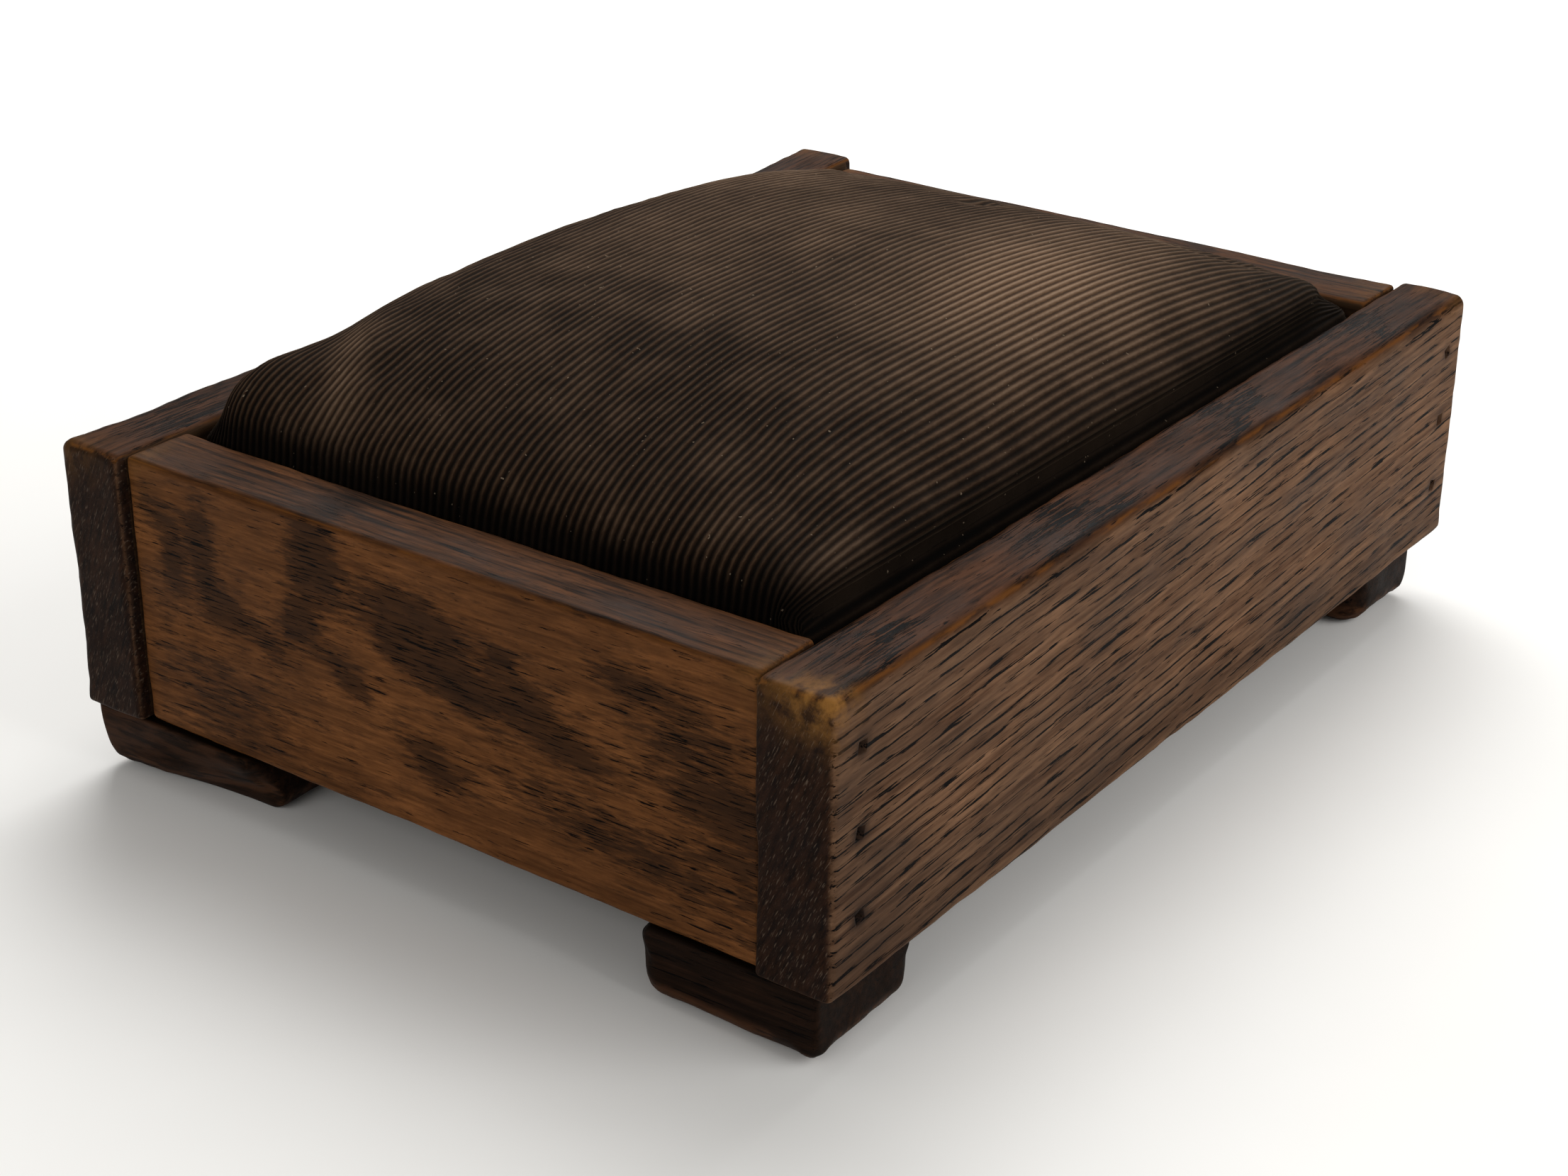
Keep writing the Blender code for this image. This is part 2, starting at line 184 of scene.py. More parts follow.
def new_material(name: str) -> tuple[Finish, Tree, bpy.types.Node]:
    """Starts a node material.

    Args:
        name: The real finish's name.

    Returns:
        The material, its tree, and its Principled shader.
    """
    material = bpy.data.materials.new(name)
    material.use_nodes = True
    tree = material.node_tree
    shader = next(n for n in tree.nodes if n.type == "BSDF_PRINCIPLED")
    return material, tree, shader


def dress(tree: Tree, shader: bpy.types.Node, values: dict[str, object]) -> None:
    """Links or sets the shader's own sockets.

    Args:
        tree: The material's tree.
        shader: Its Principled shader.
        values: What each named socket takes.
    """
    for name, value in values.items():
        if isinstance(value, Socket):
            tree.links.new(value, shader.inputs[name])
        else:
            shader.inputs[name].default_value = value


def new_tree(name: str, inputs: dict[str, str]) -> tuple[Tree, object]:
    """Starts a Geometry Nodes tree that takes a mesh and gives one back.

    Args:
        name: The tree's name.
        inputs: Its further inputs, each with its socket's type.

    Returns:
        The tree, and the outputs that hold what it was given.
    """
    tree = bpy.data.node_groups.new(name, "GeometryNodeTree")
    for label, kind in {"Geometry": "Geometry", **inputs, "Finish": "Material"}.items():
        tree.interface.new_socket(label, in_out="INPUT", socket_type=f"NodeSocket{kind}")
    tree.interface.new_socket("Geometry", in_out="OUTPUT", socket_type="NodeSocketGeometry")
    return tree, add(tree, "NodeGroupInput").node.outputs


def end_tree(tree: Tree, shape: Socket, finish: Socket) -> None:
    """Ends a tree with real geometry in its finish.

    Args:
        tree: The tree.
        shape: What it has built.
        finish: The material that it was given.
    """
    real = add(tree, "GeometryNodeRealizeInstances", (shape,))
    done = add(tree, "GeometryNodeSetMaterial", {"Geometry": real, "Material": finish})
    add(tree, "NodeGroupOutput", (done,))


# ---------------------------------------------------------------- finishes


class Cut(Enum):
    """How a board was sawn from the log, which sets its figure."""

    RIFT = 0  # long straight pore lines
    FLAT = 1  # arched bands


@dataclass(frozen=True)
class AgedOak:
    """Oak that was fumed and waxed, then handled for a century.

    The wax gives a low soft gloss, the pores stay open and black, and the arrises are
    rubbed through to golden wood. It reads the marks wear, corner, top, end and inner.
    """

    name: str
    grain: Grain
    cut: Cut = Cut.RIFT
    light: str = "765841"
    middle: str = "5e4431"
    dark: str = "40291a"
    pore: str = "050302"
    top_light: str = "4a2e1d"
    top_dark: str = "140a05"
    stain_and_shade: str = "1c1410"
    worn: str = "5e3816"
    gold: str = "80582a"
    end_light: str = "2e1c12"
    end_dark: str = "100906"
    slant: float = 2.5  # degrees between the grain and the board's edge
    ring_mm: float = 3.4
    pore_mm: float = 0.5
    pore_long_mm: float = 14.0
    density: float = 0.2
    pore_cut: float = 0.34
    roughness: float = 0.5

    def make(self) -> Finish:
        """Builds the material.

        Returns:
            The finished material.
        """
        material, tree, shader = new_material(self.name)
        place = add(tree, "ShaderNodeTexCoord", out="Object")
        along = self.grain is Grain.ALONG_LENGTH
        flat = self.cut is Cut.FLAT
        lean = math.radians(self.slant)
        turn = (0.0, lean, 0.0) if along else (lean, 0.0, 0.0)
        laid = add(tree, "ShaderNodeMapping", {"Vector": place, "Rotation": turn})

        def figure(across_mm: float, along_mm: float, detail: float = 4.0, rough: float = 0.6) -> Socket:
            """Adds noise that follows the grain.

            Args:
                across_mm: The size of its features across the grain.
                along_mm: Their size along it.
                detail: How many finer layers it has.
                rough: How strong they are.

            Returns:
                The noise, about 0.5.
            """
            scale = [1 / (across_mm * MM)] * 3
            scale[0 if along else 1] = 1 / (along_mm * MM)
            return figured(tree, laid, tuple(scale), detail, rough)

        patch = add(tree, MARK, out="Fac", attribute_name="patch")
        streaks = figure(1.6, 40, 7.0, 0.65)
        blotch = figure(12, 34, 5.0)
        if flat:
            # Charcoal patches with frayed ends, where a growth ring lies along the face.
            frayed = figure(1.1, 9, 5.0, 0.7)
            early = calc(tree, "MULTIPLY_ADD", streaks, 1.7, patch)
            early = calc(tree, "MULTIPLY_ADD", frayed, 1.9, early)
            early = add(tree, RANGE, (early, 2.05, 2.45, 0.0, 1.0))
        else:
            # Long bands of early wood, one for each year.
            level = add(tree, SPLIT, (laid,), out=2)
            for across_mm, along_mm, sway_mm in ((14, 80, 4), (3, 16, 0.9)):
                wave = figure(across_mm, along_mm, 2.0)
                level = calc(tree, "MULTIPLY_ADD", wave, sway_mm * MM, level)
            ring = calc(tree, "DIVIDE", level, self.ring_mm * MM)
            ring = calc(tree, "FRACT", ring)
            year = [(0.0, 0.25), (0.14, 0.0), (0.56, 0.0), (0.74, 1.0), (1.0, 0.25)]
            early = add(tree, RAMP, (ring,), stops=year)
            crowd = add(tree, RANGE, (figure(3, 22), 0.35, 0.5, 0.5, 1.0))
            early = calc(tree, "MULTIPLY", early, crowd)
        # Open pores are black dashes that crowd into the early wood.
        pores = figure(self.pore_mm, self.pore_long_mm, 3.0)
        pores = calc(tree, "MULTIPLY_ADD", early, -self.density, pores)
        pores = add(tree, RAMP, (pores,), stops=[(self.pore_cut, 0.0), (self.pore_cut + 0.015, 1.0)])
        names = ("top", "end", "wear", "corner", "inner")
        top, end, wear, corner, inner = (add(tree, MARK, out="Fac", attribute_name=name) for name in names)
        tones = [(0.30, self.dark), (0.5, self.middle), (0.7, self.light)]
        face = add(tree, RAMP, (streaks,), stops=tones)
        cap = add(tree, RAMP, (streaks,), stops=[(0.36, self.top_dark), (0.6, self.top_light)])
        shaded = add(tree, RANGE, (blotch, 0.36, 0.64, 0.74, 1.18))
        ripple = add(tree, RANGE, (figure(1.3, 7, 3.0), 0.35, 0.65, 0.86, 1.12))
        colour = blend(tree, 1.0, blend(tree, top, face, cap), shaded, "MULTIPLY")
        colour = blend(tree, 1.0, colour, ripple, "MULTIPLY")
        # On the long boards the patch mark darkens towards the stain colour: painted shade at the left
        # end, nail stains and dark marks; on the short ones it feeds the figure.
        deep = calc(tree, "MULTIPLY", early, 0.72) if flat else patch
        colour = blend(tree, deep, colour, self.stain_and_shade)
        colour = blend(tree, pores, self.pore, colour)
        colour = blend(tree, end, colour, self._butt(tree, place, blotch))
        raw = add(tree, RAMP, (streaks,), stops=[(0.3, "241910"), (0.55, "3c2b1d"), (0.75, "4d3926")])
        colour = blend(tree, inner, colour, raw)
        # Handling: a thin brown line along each arris, and golden wood at the corners.
        chips = add(tree, RANGE, (figure(3, 16), 0.44, 0.56, 0.05, 0.9))
        colour = blend(tree, calc(tree, "MULTIPLY", wear, chips), colour, self.worn)
        patchy = add(tree, RANGE, (figure(4, 5, 5.0, 0.6), 0.38, 0.6, 0.1, 1.0))
        colour = blend(tree, calc(tree, "MULTIPLY", corner, patchy), colour, self.gold)
        relief = calc(tree, "MULTIPLY_ADD", streaks, 0.5, pores)
        low, high = self.roughness - 0.12, self.roughness + 0.14
        dress(
            tree,
            shader,
            {
                "Base Color": colour,
                "Roughness": add(tree, RANGE, (blotch, 0.3, 0.7, low, high)),
                "Normal": add(tree, BUMP, {"Height": relief, "Strength": 0.6, "Distance": 0.25 * MM}),
                "Specular IOR Level": 0.03,
            },
        )
        return material

    def _butt(self, tree: Tree, place: Socket, blotch: Socket) -> Socket:
        """Adds the end grain: near black, with short pale rays that lean across it and blue-grey patches
        of painted sheen.

        Args:
            tree: The material's tree.
            place: The object coordinates.
            blotch: The board's slow mottle.

        Returns:
            The end grain's colour.
        """
        lean = (math.radians(-24), 0.0, 0.0)
        turned = add(tree, "ShaderNodeMapping", {"Vector": place, "Rotation": lean})
        coarse = figured(tree, turned, (500.0, 900.0, 160.0), 4.0, 0.7)
        ground = add(tree, RAMP, (coarse,), stops=[(0.34, self.end_dark), (0.66, self.end_light)])
        # Blue-grey patches of painted sheen: the wax's reflection on the end grain.
        painted_sheen = add(tree, RANGE, (blotch, 0.42, 0.6, 0.0, 0.28))
        ground = blend(tree, painted_sheen, ground, "191819")
        fine = figured(tree, turned, (900.0, 3200.0, 420.0), 2.0, 0.5)
        rays = add(tree, RAMP, (fine,), stops=[(0.6, 0.0), (0.7, 0.65)])
        return blend(tree, rays, ground, "5a4c40")


@dataclass(frozen=True)
class Corduroy:
    """Cotton corduroy, brown and worn: dark grooves, deepened with painted shade, and paler rubbed ribs.

    It reads the marks cloth, the place on the uncut cloth, nap_and_sheen, how rubbed the pile is
    with painted sheen on it, and painted_rim_shade, painted shade where it turns down into the box.
    """

    name: str = "worn brown cotton corduroy"
    pitch: float = 2.35 * MM

    def make(self) -> Finish:
        """Builds the material.

        Returns:
            The finished material.
        """
        material, tree, shader = new_material(self.name)
        place = add(tree, "ShaderNodeTexCoord", out="Object")
        cloth = add(tree, MARK, out="Vector", attribute_name="cloth")
        nap_and_sheen = add(tree, MARK, out="Fac", attribute_name="nap_and_sheen")
        painted_rim_shade = add(tree, MARK, out="Fac", attribute_name="painted_rim_shade")
        across = add(tree, SPLIT, (cloth,), out=1)
        turns = calc(tree, "MULTIPLY", across, 2 * math.pi / self.pitch)
        wave = calc(tree, "COSINE", turns)
        rib = calc(tree, "MULTIPLY_ADD", wave, 0.5, 0.5)
        # Cut pile stands in tufts about 2 mm long and 0.7 mm wide along each rib.
        tufts = figured(tree, cloth, (480.0, 1500.0, 1.0), 4.0, 0.7)
        uneven = calc(tree, "MULTIPLY_ADD", tufts, 0.7, -0.35)
        pile = calc(tree, "ADD", rib, uneven)
        # Random wear, plus the nap mark, which also carries painted sheen and painted highlights.
        rubbed = add(tree, NOISE, {"Vector": place, "Scale": 70.0, "Detail": 6.0, "Roughness": 0.65})
        rubbed = add(tree, RANGE, (rubbed, 0.32, 0.7, -0.1, 0.14))
        rubbed = calc(tree, "ADD", rubbed, nap_and_sheen, use_clamp=True)
        # The ramps darken the grooves as painted shade and pale the crests where the pile is rubbed.
        fresh = [(0.1, "080402"), (0.45, "160d07"), (0.8, "26180e"), (1.0, "3a2a1d")]
        bare = [(0.05, "392a1f"), (0.35, "57412f"), (0.75, "6c5644"), (1.0, "7e6855")]
        full = add(tree, RAMP, (pile,), stops=fresh)
        bald = add(tree, RAMP, (pile,), stops=bare)
        colour = blend(tree, rubbed, full, bald)
        # Darkens the cover near and below the rim: painted shade where it turns into the box.
        dim = calc(tree, "MULTIPLY_ADD", painted_rim_shade, -0.88, 1.0)
        colour = blend(tree, 1.0, colour, dim, "MULTIPLY")
        specks = add(tree, NOISE, {"Vector": place, "Scale": 900.0, "Detail": 1.0})
        specks = add(tree, RAMP, (specks,), stops=[(0.77, 0.0), (0.8, 0.5)])
        colour = blend(tree, specks, colour, "8d7c68")
        dress(
            tree,
            shader,
            {
                "Base Color": colour,
                "Normal": add(tree, BUMP, {"Height": pile, "Strength": 0.5, "Distance": 0.25 * MM}),
                "Roughness": 0.9,
                "Specular IOR Level": 0.05,
                "Sheen Weight": 0.1,
                "Sheen Roughness": 0.4,
                "Sheen Tint": linear("b59a7c"),
            },
        )
        return material


@dataclass(frozen=True)
class Mottled:
    """A rough mottled finish: raw pine, wadding, oxidised iron or blued steel."""

    name: str
    dark: str
    light: str
    size_mm: tuple[float, float, float] = (5.0, 5.0, 5.0)
    roughness: float = 0.7
    metallic: float = 0.0
    relief: float = 0.1 * MM

    def make(self) -> Finish:
        """Builds the material.

        Returns:
            The finished material.
        """
        material, tree, shader = new_material(self.name)
        place = add(tree, "ShaderNodeTexCoord", out="Object")
        scale = tuple(1 / (size * MM) for size in self.size_mm)
        mottle = figured(tree, place, scale, 5.0, 0.65)
        low, high = self.roughness - 0.12, self.roughness + 0.12
        dress(
            tree,
            shader,
            {
                "Base Color": add(tree, RAMP, (mottle,), stops=[(0.32, self.dark), (0.7, self.light)]),
                "Roughness": add(tree, RANGE, (mottle, 0.3, 0.7, low, high)),
                "Normal": add(tree, BUMP, {"Height": mottle, "Strength": 0.5, "Distance": self.relief}),
                "Metallic": self.metallic,
            },
        )
        return material


# ---------------------------------------------------------------- mesh making


@dataclass(frozen=True)
class Drift:
    """A smooth repeatable ripple in space, from seeded waves, about -1 to 1."""

    size: float
    seed: int
    waves: int = 14

    def __call__(self, points: Array) -> Array:
        """Gives the ripple at each point.

        Args:
            points: Places in metres, one row each.

        Returns:
            One value for each point.
        """
        rng = np.random.default_rng(self.seed)
        total = np.zeros(len(points))
        for _ in range(self.waves):
            way = rng.normal(size=3)
            way /= np.linalg.norm(way)
            length = self.size * rng.uniform(0.6, 1.9)
            total += np.sin(points @ (way * 2 * math.pi / length) + rng.uniform(0, 2 * math.pi))
        return total / math.sqrt(self.waves)


def smooth(value: Array, low: float, high: float) -> Array:
    """Eases from 0 at low to 1 at high."""
    t = np.clip((value - low) / (high - low), 0.0, 1.0)
    return t * t * (3 - 2 * t)


@dataclass
class Swell:
    """A soft rise, hollow or patch about a place, long one way and narrow the other."""

    x: float
    y: float
    height: float
    long: float
    wide: float
    turn: float = 0.0  # degrees from the first axis

    def __call__(self, points: Array) -> Array:
        """Gives the rise at each point.

        Args:
            points: Places in metres, of which the first two coordinates count.

        Returns:
            One value for each point.
        """
        angle = math.radians(self.turn)
        dx, dy = points[:, 0] - self.x, points[:, 1] - self.y
        along = (dx * math.cos(angle) + dy * math.sin(angle)) / self.long
        across = (-dx * math.sin(angle) + dy * math.cos(angle)) / self.wide
        return self.height * np.exp(-(along**2) - across**2)


def new_piece(
    name: str,
    points: Array,
    faces: list,
    material: Finish,
    marks: dict[str, Array] | None = None,
) -> Piece:
    """Makes a smooth-shaded mesh object from points and faces.

    Args:
        name: The piece's name.
        points: Places in metres.
        faces: Vertex indices of each face, turning outwards.
        material: Its finish.
        marks: Named values at each point, one or three wide.

    Returns:
        The new object, linked to the scene.
    """
    mesh = bpy.data.meshes.new(name)
    mesh.from_pydata(points.tolist(), [], faces if isinstance(faces, list) else faces.tolist())
    for key, values in (marks or {}).items():
        wide = values.ndim == 2
        layer = mesh.attributes.new(key, "FLOAT_VECTOR" if wide else "FLOAT", "POINT")
        layer.data.foreach_set("vector" if wide else "value", values.astype(np.float32).ravel())
    mesh.materials.append(material)
    mesh.shade_smooth()
    mesh.update()
    piece = bpy.data.objects.new(name, mesh)
    bpy.context.scene.collection.objects.link(piece)
    return piece


def seat(piece: Piece, body: Body, slot: str, *nodes: str) -> Piece:
    """Hangs a piece on its body and hides the CAD nodes that it stands in for.

    Args:
        piece: The piece.
        body: The body that it rides on.
        slot: Not used.
        nodes: The CAD nodes that it stands in for.

    Returns:
        The same piece.
    """
    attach(piece, body.value)
    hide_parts(*nodes)
    LOG.info("%s: %d faces on %s", piece.name, len(piece.data.polygons), body.value)
    return piece


def coordinates(piece: Piece) -> Array:
    """Reads a mesh object's points.

    Args:
        piece: The object.

    Returns:
        Its points in metres, one row each.
    """
    points = np.zeros(len(piece.data.vertices) * 3, np.float32)
    piece.data.vertices.foreach_get("co", points)
    return points.reshape(-1, 3).astype(float)


def bake(piece: Piece) -> None:
    """Turns a piece's modifiers into its mesh.

    Args:
        piece: The object, left with a plain mesh.
    """
    done = piece.evaluated_get(bpy.context.evaluated_depsgraph_get())
    mesh = bpy.data.meshes.new_from_object(done)
    piece.modifiers.clear()
    old, piece.data = piece.data, mesh
    mesh.name = piece.name
    bpy.data.meshes.remove(old)


def apply_tree(piece: Piece, tree: Tree, values: dict) -> Piece:
    """Runs a tree on a piece and leaves a plain mesh.

    Args:
        piece: The object whose mesh the tree takes.
        tree: The node group.
        values: What each of its named inputs is set to.

    Returns:
        The same object, with the result as its mesh and no modifier.
    """
    step = piece.modifiers.new(tree.name, "NODES")
    step.node_group = tree
    for item in tree.interface.items_tree:
        if item.item_type == "SOCKET" and item.in_out == "INPUT" and item.name in values:
            step[item.identifier] = values[item.name]
    bpy.context.view_layer.update()
    bake(piece)
    piece.data.shade_smooth()
    return piece


@dataclass
class Pit:
    """A square hole in a face, where a cut nail was driven."""

    place: Vector
    axis: int  # the axis that it runs in along
    depth: float = 1.6 * MM
    turn: float = 0.0
    width: float = 3.0 * MM


def nail_pits(prefix: str, axis: int, side: int, depth: float, twist: float = 0.0) -> list[Pit]:
    """Finds the holes over the nails in one face.

    Args:
        prefix: How the nails' nodes are named.
        axis: The axis that they are driven along.
        side: Which way their heads look along it, -1 or 1.
        depth: How deep the holes are.
        twist: The most that one is turned, in radians.

    Returns:
        A pit for each nail.
    """
    pits = []
    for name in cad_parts:
        if name.startswith(prefix):
            low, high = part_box(name)
            spot = (low + high) / 2
            spot[axis] = (low if side < 0 else high)[axis]
            pits.append(Pit(spot, axis, depth, twist * math.sin(7 * spot.x + 91 * spot.z)))
    return pits


@dataclass
class Timber:
    """A sawn block with worn arrises, as a closed mesh, fine near its edges."""

    low: Vector
    high: Vector
    arris: dict[str, float] = field(default_factory=dict)  # each worn arris's radius, such as "x-z+"
    plain: float = 1.5 * MM  # the radius of the others
    band: float = 6.5 * MM  # how far in from each edge the grid is fine
    fine: float = 0.55 * MM
    coarse: float = 2.6 * MM
    seed: int = 1
    uneven: float = 0.13
    dish: float = 0.15 * MM  # how deep the dents are
    pits: list[Pit] = field(default_factory=list)

    def _lines(self, axis: int) -> Array:
        """Spaces the grid along one axis, with more lines round each pit.

        Args:
            axis: The axis.

        Returns:
            The places of the lines.
        """
        low, high = self.low[axis], self.high[axis]
        band = min(self.band, (high - low) / 2)
        edge = np.linspace(0, band, max(3, round(band / self.fine) + 1))
        lines = [low + edge, high - edge]
        if high - low > 2 * band:
            count = max(2, round((high - low - 2 * band) / self.coarse))
            lines.append(np.linspace(low + band, high - band, count))
        lines = np.unique(np.round(np.concatenate(lines), 7))
        for pit in self.pits:
            if pit.axis != axis:
                half = pit.width / 2
                lip, clear = 0.12 * MM, 0.35 * MM
                spot = pit.place[axis]
                lines = lines[np.abs(lines - spot) > half + clear]
                steps = np.array([half / 2, half - lip, half, half + 3 * lip])
                lines = np.concatenate([lines, spot - steps, [spot], spot + steps])
        return np.unique(np.round(np.sort(lines), 7))

    def _surface(self) -> tuple[Array, Array]:
        """Builds the block's closed skin from the grid lines.

        Returns:
            Points, and quads that turn outwards.
        """
        lines = [self._lines(axis) for axis in range(3)]
        count = [len(line) for line in lines]
        skin = np.zeros(count, bool)
        for axis in range(3):
            np.moveaxis(skin, axis, 0)[[0, -1]] = True
        ids = np.full(count, -1)
        ids[skin] = np.arange(skin.sum())
        points = np.stack(np.meshgrid(*lines, indexing="ij"), -1)[skin]
        faces = []
        for axis in range(3):
            for last in (0, -1):
                face = np.take(ids, last, axis=axis)
                quad = np.stack([face[:-1, :-1], face[1:, :-1], face[1:, 1:], face[:-1, 1:]], -1)
                quad = quad.reshape(-1, 4)
                faces.append(quad[:, ::-1] if (last == 0) != (axis == 1) else quad)
        return points, np.concatenate(faces)

    def _radius(self, points: Array) -> Array:
        """Finds how far the nearest arrises are worn.

        Args:
            points: Places on the unworn block.

        Returns:
            The radius at each point, blended between the arrises.
        """
        low, high = np.array(self.low), np.array(self.high)
        reach = 3.5 * MM
        total = np.full(len(points), 1e-9)
        radius = np.full(len(points), self.plain * 1e-9)
        for axis in range(3):
            first, second = [k for k in range(3) if k != axis]
            for one in (0, 1):
                for two in (0, 1):
                    name = "xyz"[first] + "-+"[one] + "xyz"[second] + "-+"[two]
                    gap = np.hypot(
                        points[:, first] - (high if one else low)[first],
                        points[:, second] - (high if two else low)[second],
                    )
                    weight = np.exp(-((gap / reach) ** 2)) + 1e-12
                    total += weight
                    radius += weight * self.arris.get(name, self.plain)
        radius /= total
        long, short = Drift(22 * MM, self.seed)(points), Drift(5 * MM, self.seed + 1)(points)
        radius *= 1 + self.uneven * long + 0.5 * self.uneven * short
        smallest = min(high - low) / 2
        return np.clip(radius, 0.3 * MM, smallest * 0.95)

    def _sink(self, points: Array, pit: Pit) -> None:
        """Pushes in a pit's floor and turns the points round it.

        Args:
            points: The worn block's points, which it moves.
            pit: The pit.
        """
        across = [k for k in range(3) if k != pit.axis]
        spot = np.array(pit.place)
        reach, still = 5 * MM, 2 * MM
        off = points[:, across] - spot[across]
        near = np.abs(points[:, pit.axis] - spot[pit.axis]) < 2.5 * MM
        inside = near & (np.abs(off).max(1) < pit.width / 2 - 0.06 * MM)
        sign = 1 if spot[pit.axis] > (self.low[pit.axis] + self.high[pit.axis]) / 2 else -1
        points[inside, pit.axis] -= sign * pit.depth
        close = near & (np.linalg.norm(off, axis=1) < reach)
        angle = pit.turn * (1 - smooth(np.linalg.norm(off[close], axis=1), still, reach))
        x, y = off[close].T
        turned = [x * np.cos(angle) - y * np.sin(angle), x * np.sin(angle) + y * np.cos(angle)]
        points[np.ix_(close, across)] = np.stack(turned, 1) + spot[across]

    def build(self) -> tuple[Array, Array, dict[str, Array]]:
        """Rounds the arrises, sinks the pits and marks the wear.

        Returns:
            Points, faces, and the marks wear, top and normal at each point.
        """
        flat, faces = self._surface()
        low, high = np.array(self.low), np.array(self.high)
        radius = self._radius(flat)
        core = np.clip(flat, low + radius[:, None], high - radius[:, None])
        out = flat - core
        length = np.linalg.norm(out, axis=1)
        normal = out / np.maximum(length, 1e-9)[:, None]
        points = core + normal * radius[:, None]
        dent = Drift(34 * MM, self.seed + 2)(flat) + 0.4 * Drift(9 * MM, self.seed + 3)(flat)
        points -= normal * (self.dish * np.clip(dent, 0, 2))[:, None]
        for pit in self.pits:
            self._sink(points, pit)
        rounded = 1 - np.abs(normal).max(1)
        top = smooth(normal[:, 2], 0.35, 0.8)
        return points, faces, {"wear": smooth(rounded, 0.12, 0.28), "top": top, "normal": normal}


# ---------------------------------------------------------------- timber parts


@dataclass
class Board:
    """One oak board of the box, long or short, with its arrises and nail holes."""

    node: str
    arris: dict[str, float]
    outward: tuple[int, int]  # the axis of its outer face, and its sign
    seed: int
    pits: list[Pit] = field(default_factory=list)
    proud: float = 0.0  # how much of each end stands clear of the board it laps
    lift: float = 0.0  # how far its right end has warped up
    gold: float = 0.25  # how bare its left end's top corner is rubbed
    patches: tuple[Swell, ...] = ()  # dark places by the place along its length and by Z: figure on the short boards, painted shade, nail stains and dark marks on the long ones

    def make(self, finish: Finish, slot: str) -> Piece:
        """Builds the board in its finish.

        Args:
            finish: The oak.
            slot: A material slot's name, passed on to seat.

        Returns:
            The board.
        """
        low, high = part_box(self.node)
        timber = Timber(low, high, self.arris, seed=self.seed, pits=self.pits)
        points, faces, marks = timber.build()
        normal = marks.pop("normal")
        axis, sign = self.outward
        inside = smooth(-sign * normal[:, axis], 0.6, 0.95)
        under = smooth(-normal[:, 2], 0.6, 0.95)
        lapped = np.abs(points[:, 1 - axis]) < high[1 - axis] - self.proud
        marks["inner"] = np.clip(inside + 0.7 * under, 0, 1) * lapped
        # The inner face of an end that stands proud takes the end grain's near black: painted shade in the
        # gap beside the short board.
        marks["end"] = np.maximum(smooth(np.abs(normal[:, 1 - axis]), 0.5, 0.9), inside * ~lapped)
        marks["patch"] = sum(patch(points[:, [1 - axis, 2]]) for patch in self.patches)
        marks["wear"] *= 0.1 + 0.9 * smooth(normal[:, 2], 0.1, 0.45)
        marks["corner"] = self._rubbed(points, low, high)
        rise = smooth(points[:, 0], 0.6 * high.x, high.x) * smooth(points[:, 2], 0.5 * high.z, high.z)
        points[:, 2] += self.lift * rise
        return seat(new_piece(self.node, points, faces, finish, marks), Body.FRAME, slot, self.node)

    def _rubbed(self, points: Array, low: Vector, high: Vector) -> Array:
        """Finds how bare the outer top corners are rubbed.

        Args:
            points: The board's points.
            low: Its box's least corner.
            high: Its box's greatest corner.

        Returns:
            The corner mark at each point.
        """
        axis, sign = self.outward
        reach, right_gold = 8 * MM, 0.3
        spot = [0.0, 0.0, high.z]
        spot[axis] = (high if sign > 0 else low)[axis]
        away = points - np.array(spot)
        away[:, 1 - axis] = np.abs(points[:, 1 - axis]) - high[1 - axis]
        away[:, axis] *= 0.6
        near = np.exp(-(np.linalg.norm(away / reach, axis=1) ** 2))
        return near * np.where(points[:, 0] < 0, self.gold, right_gold)


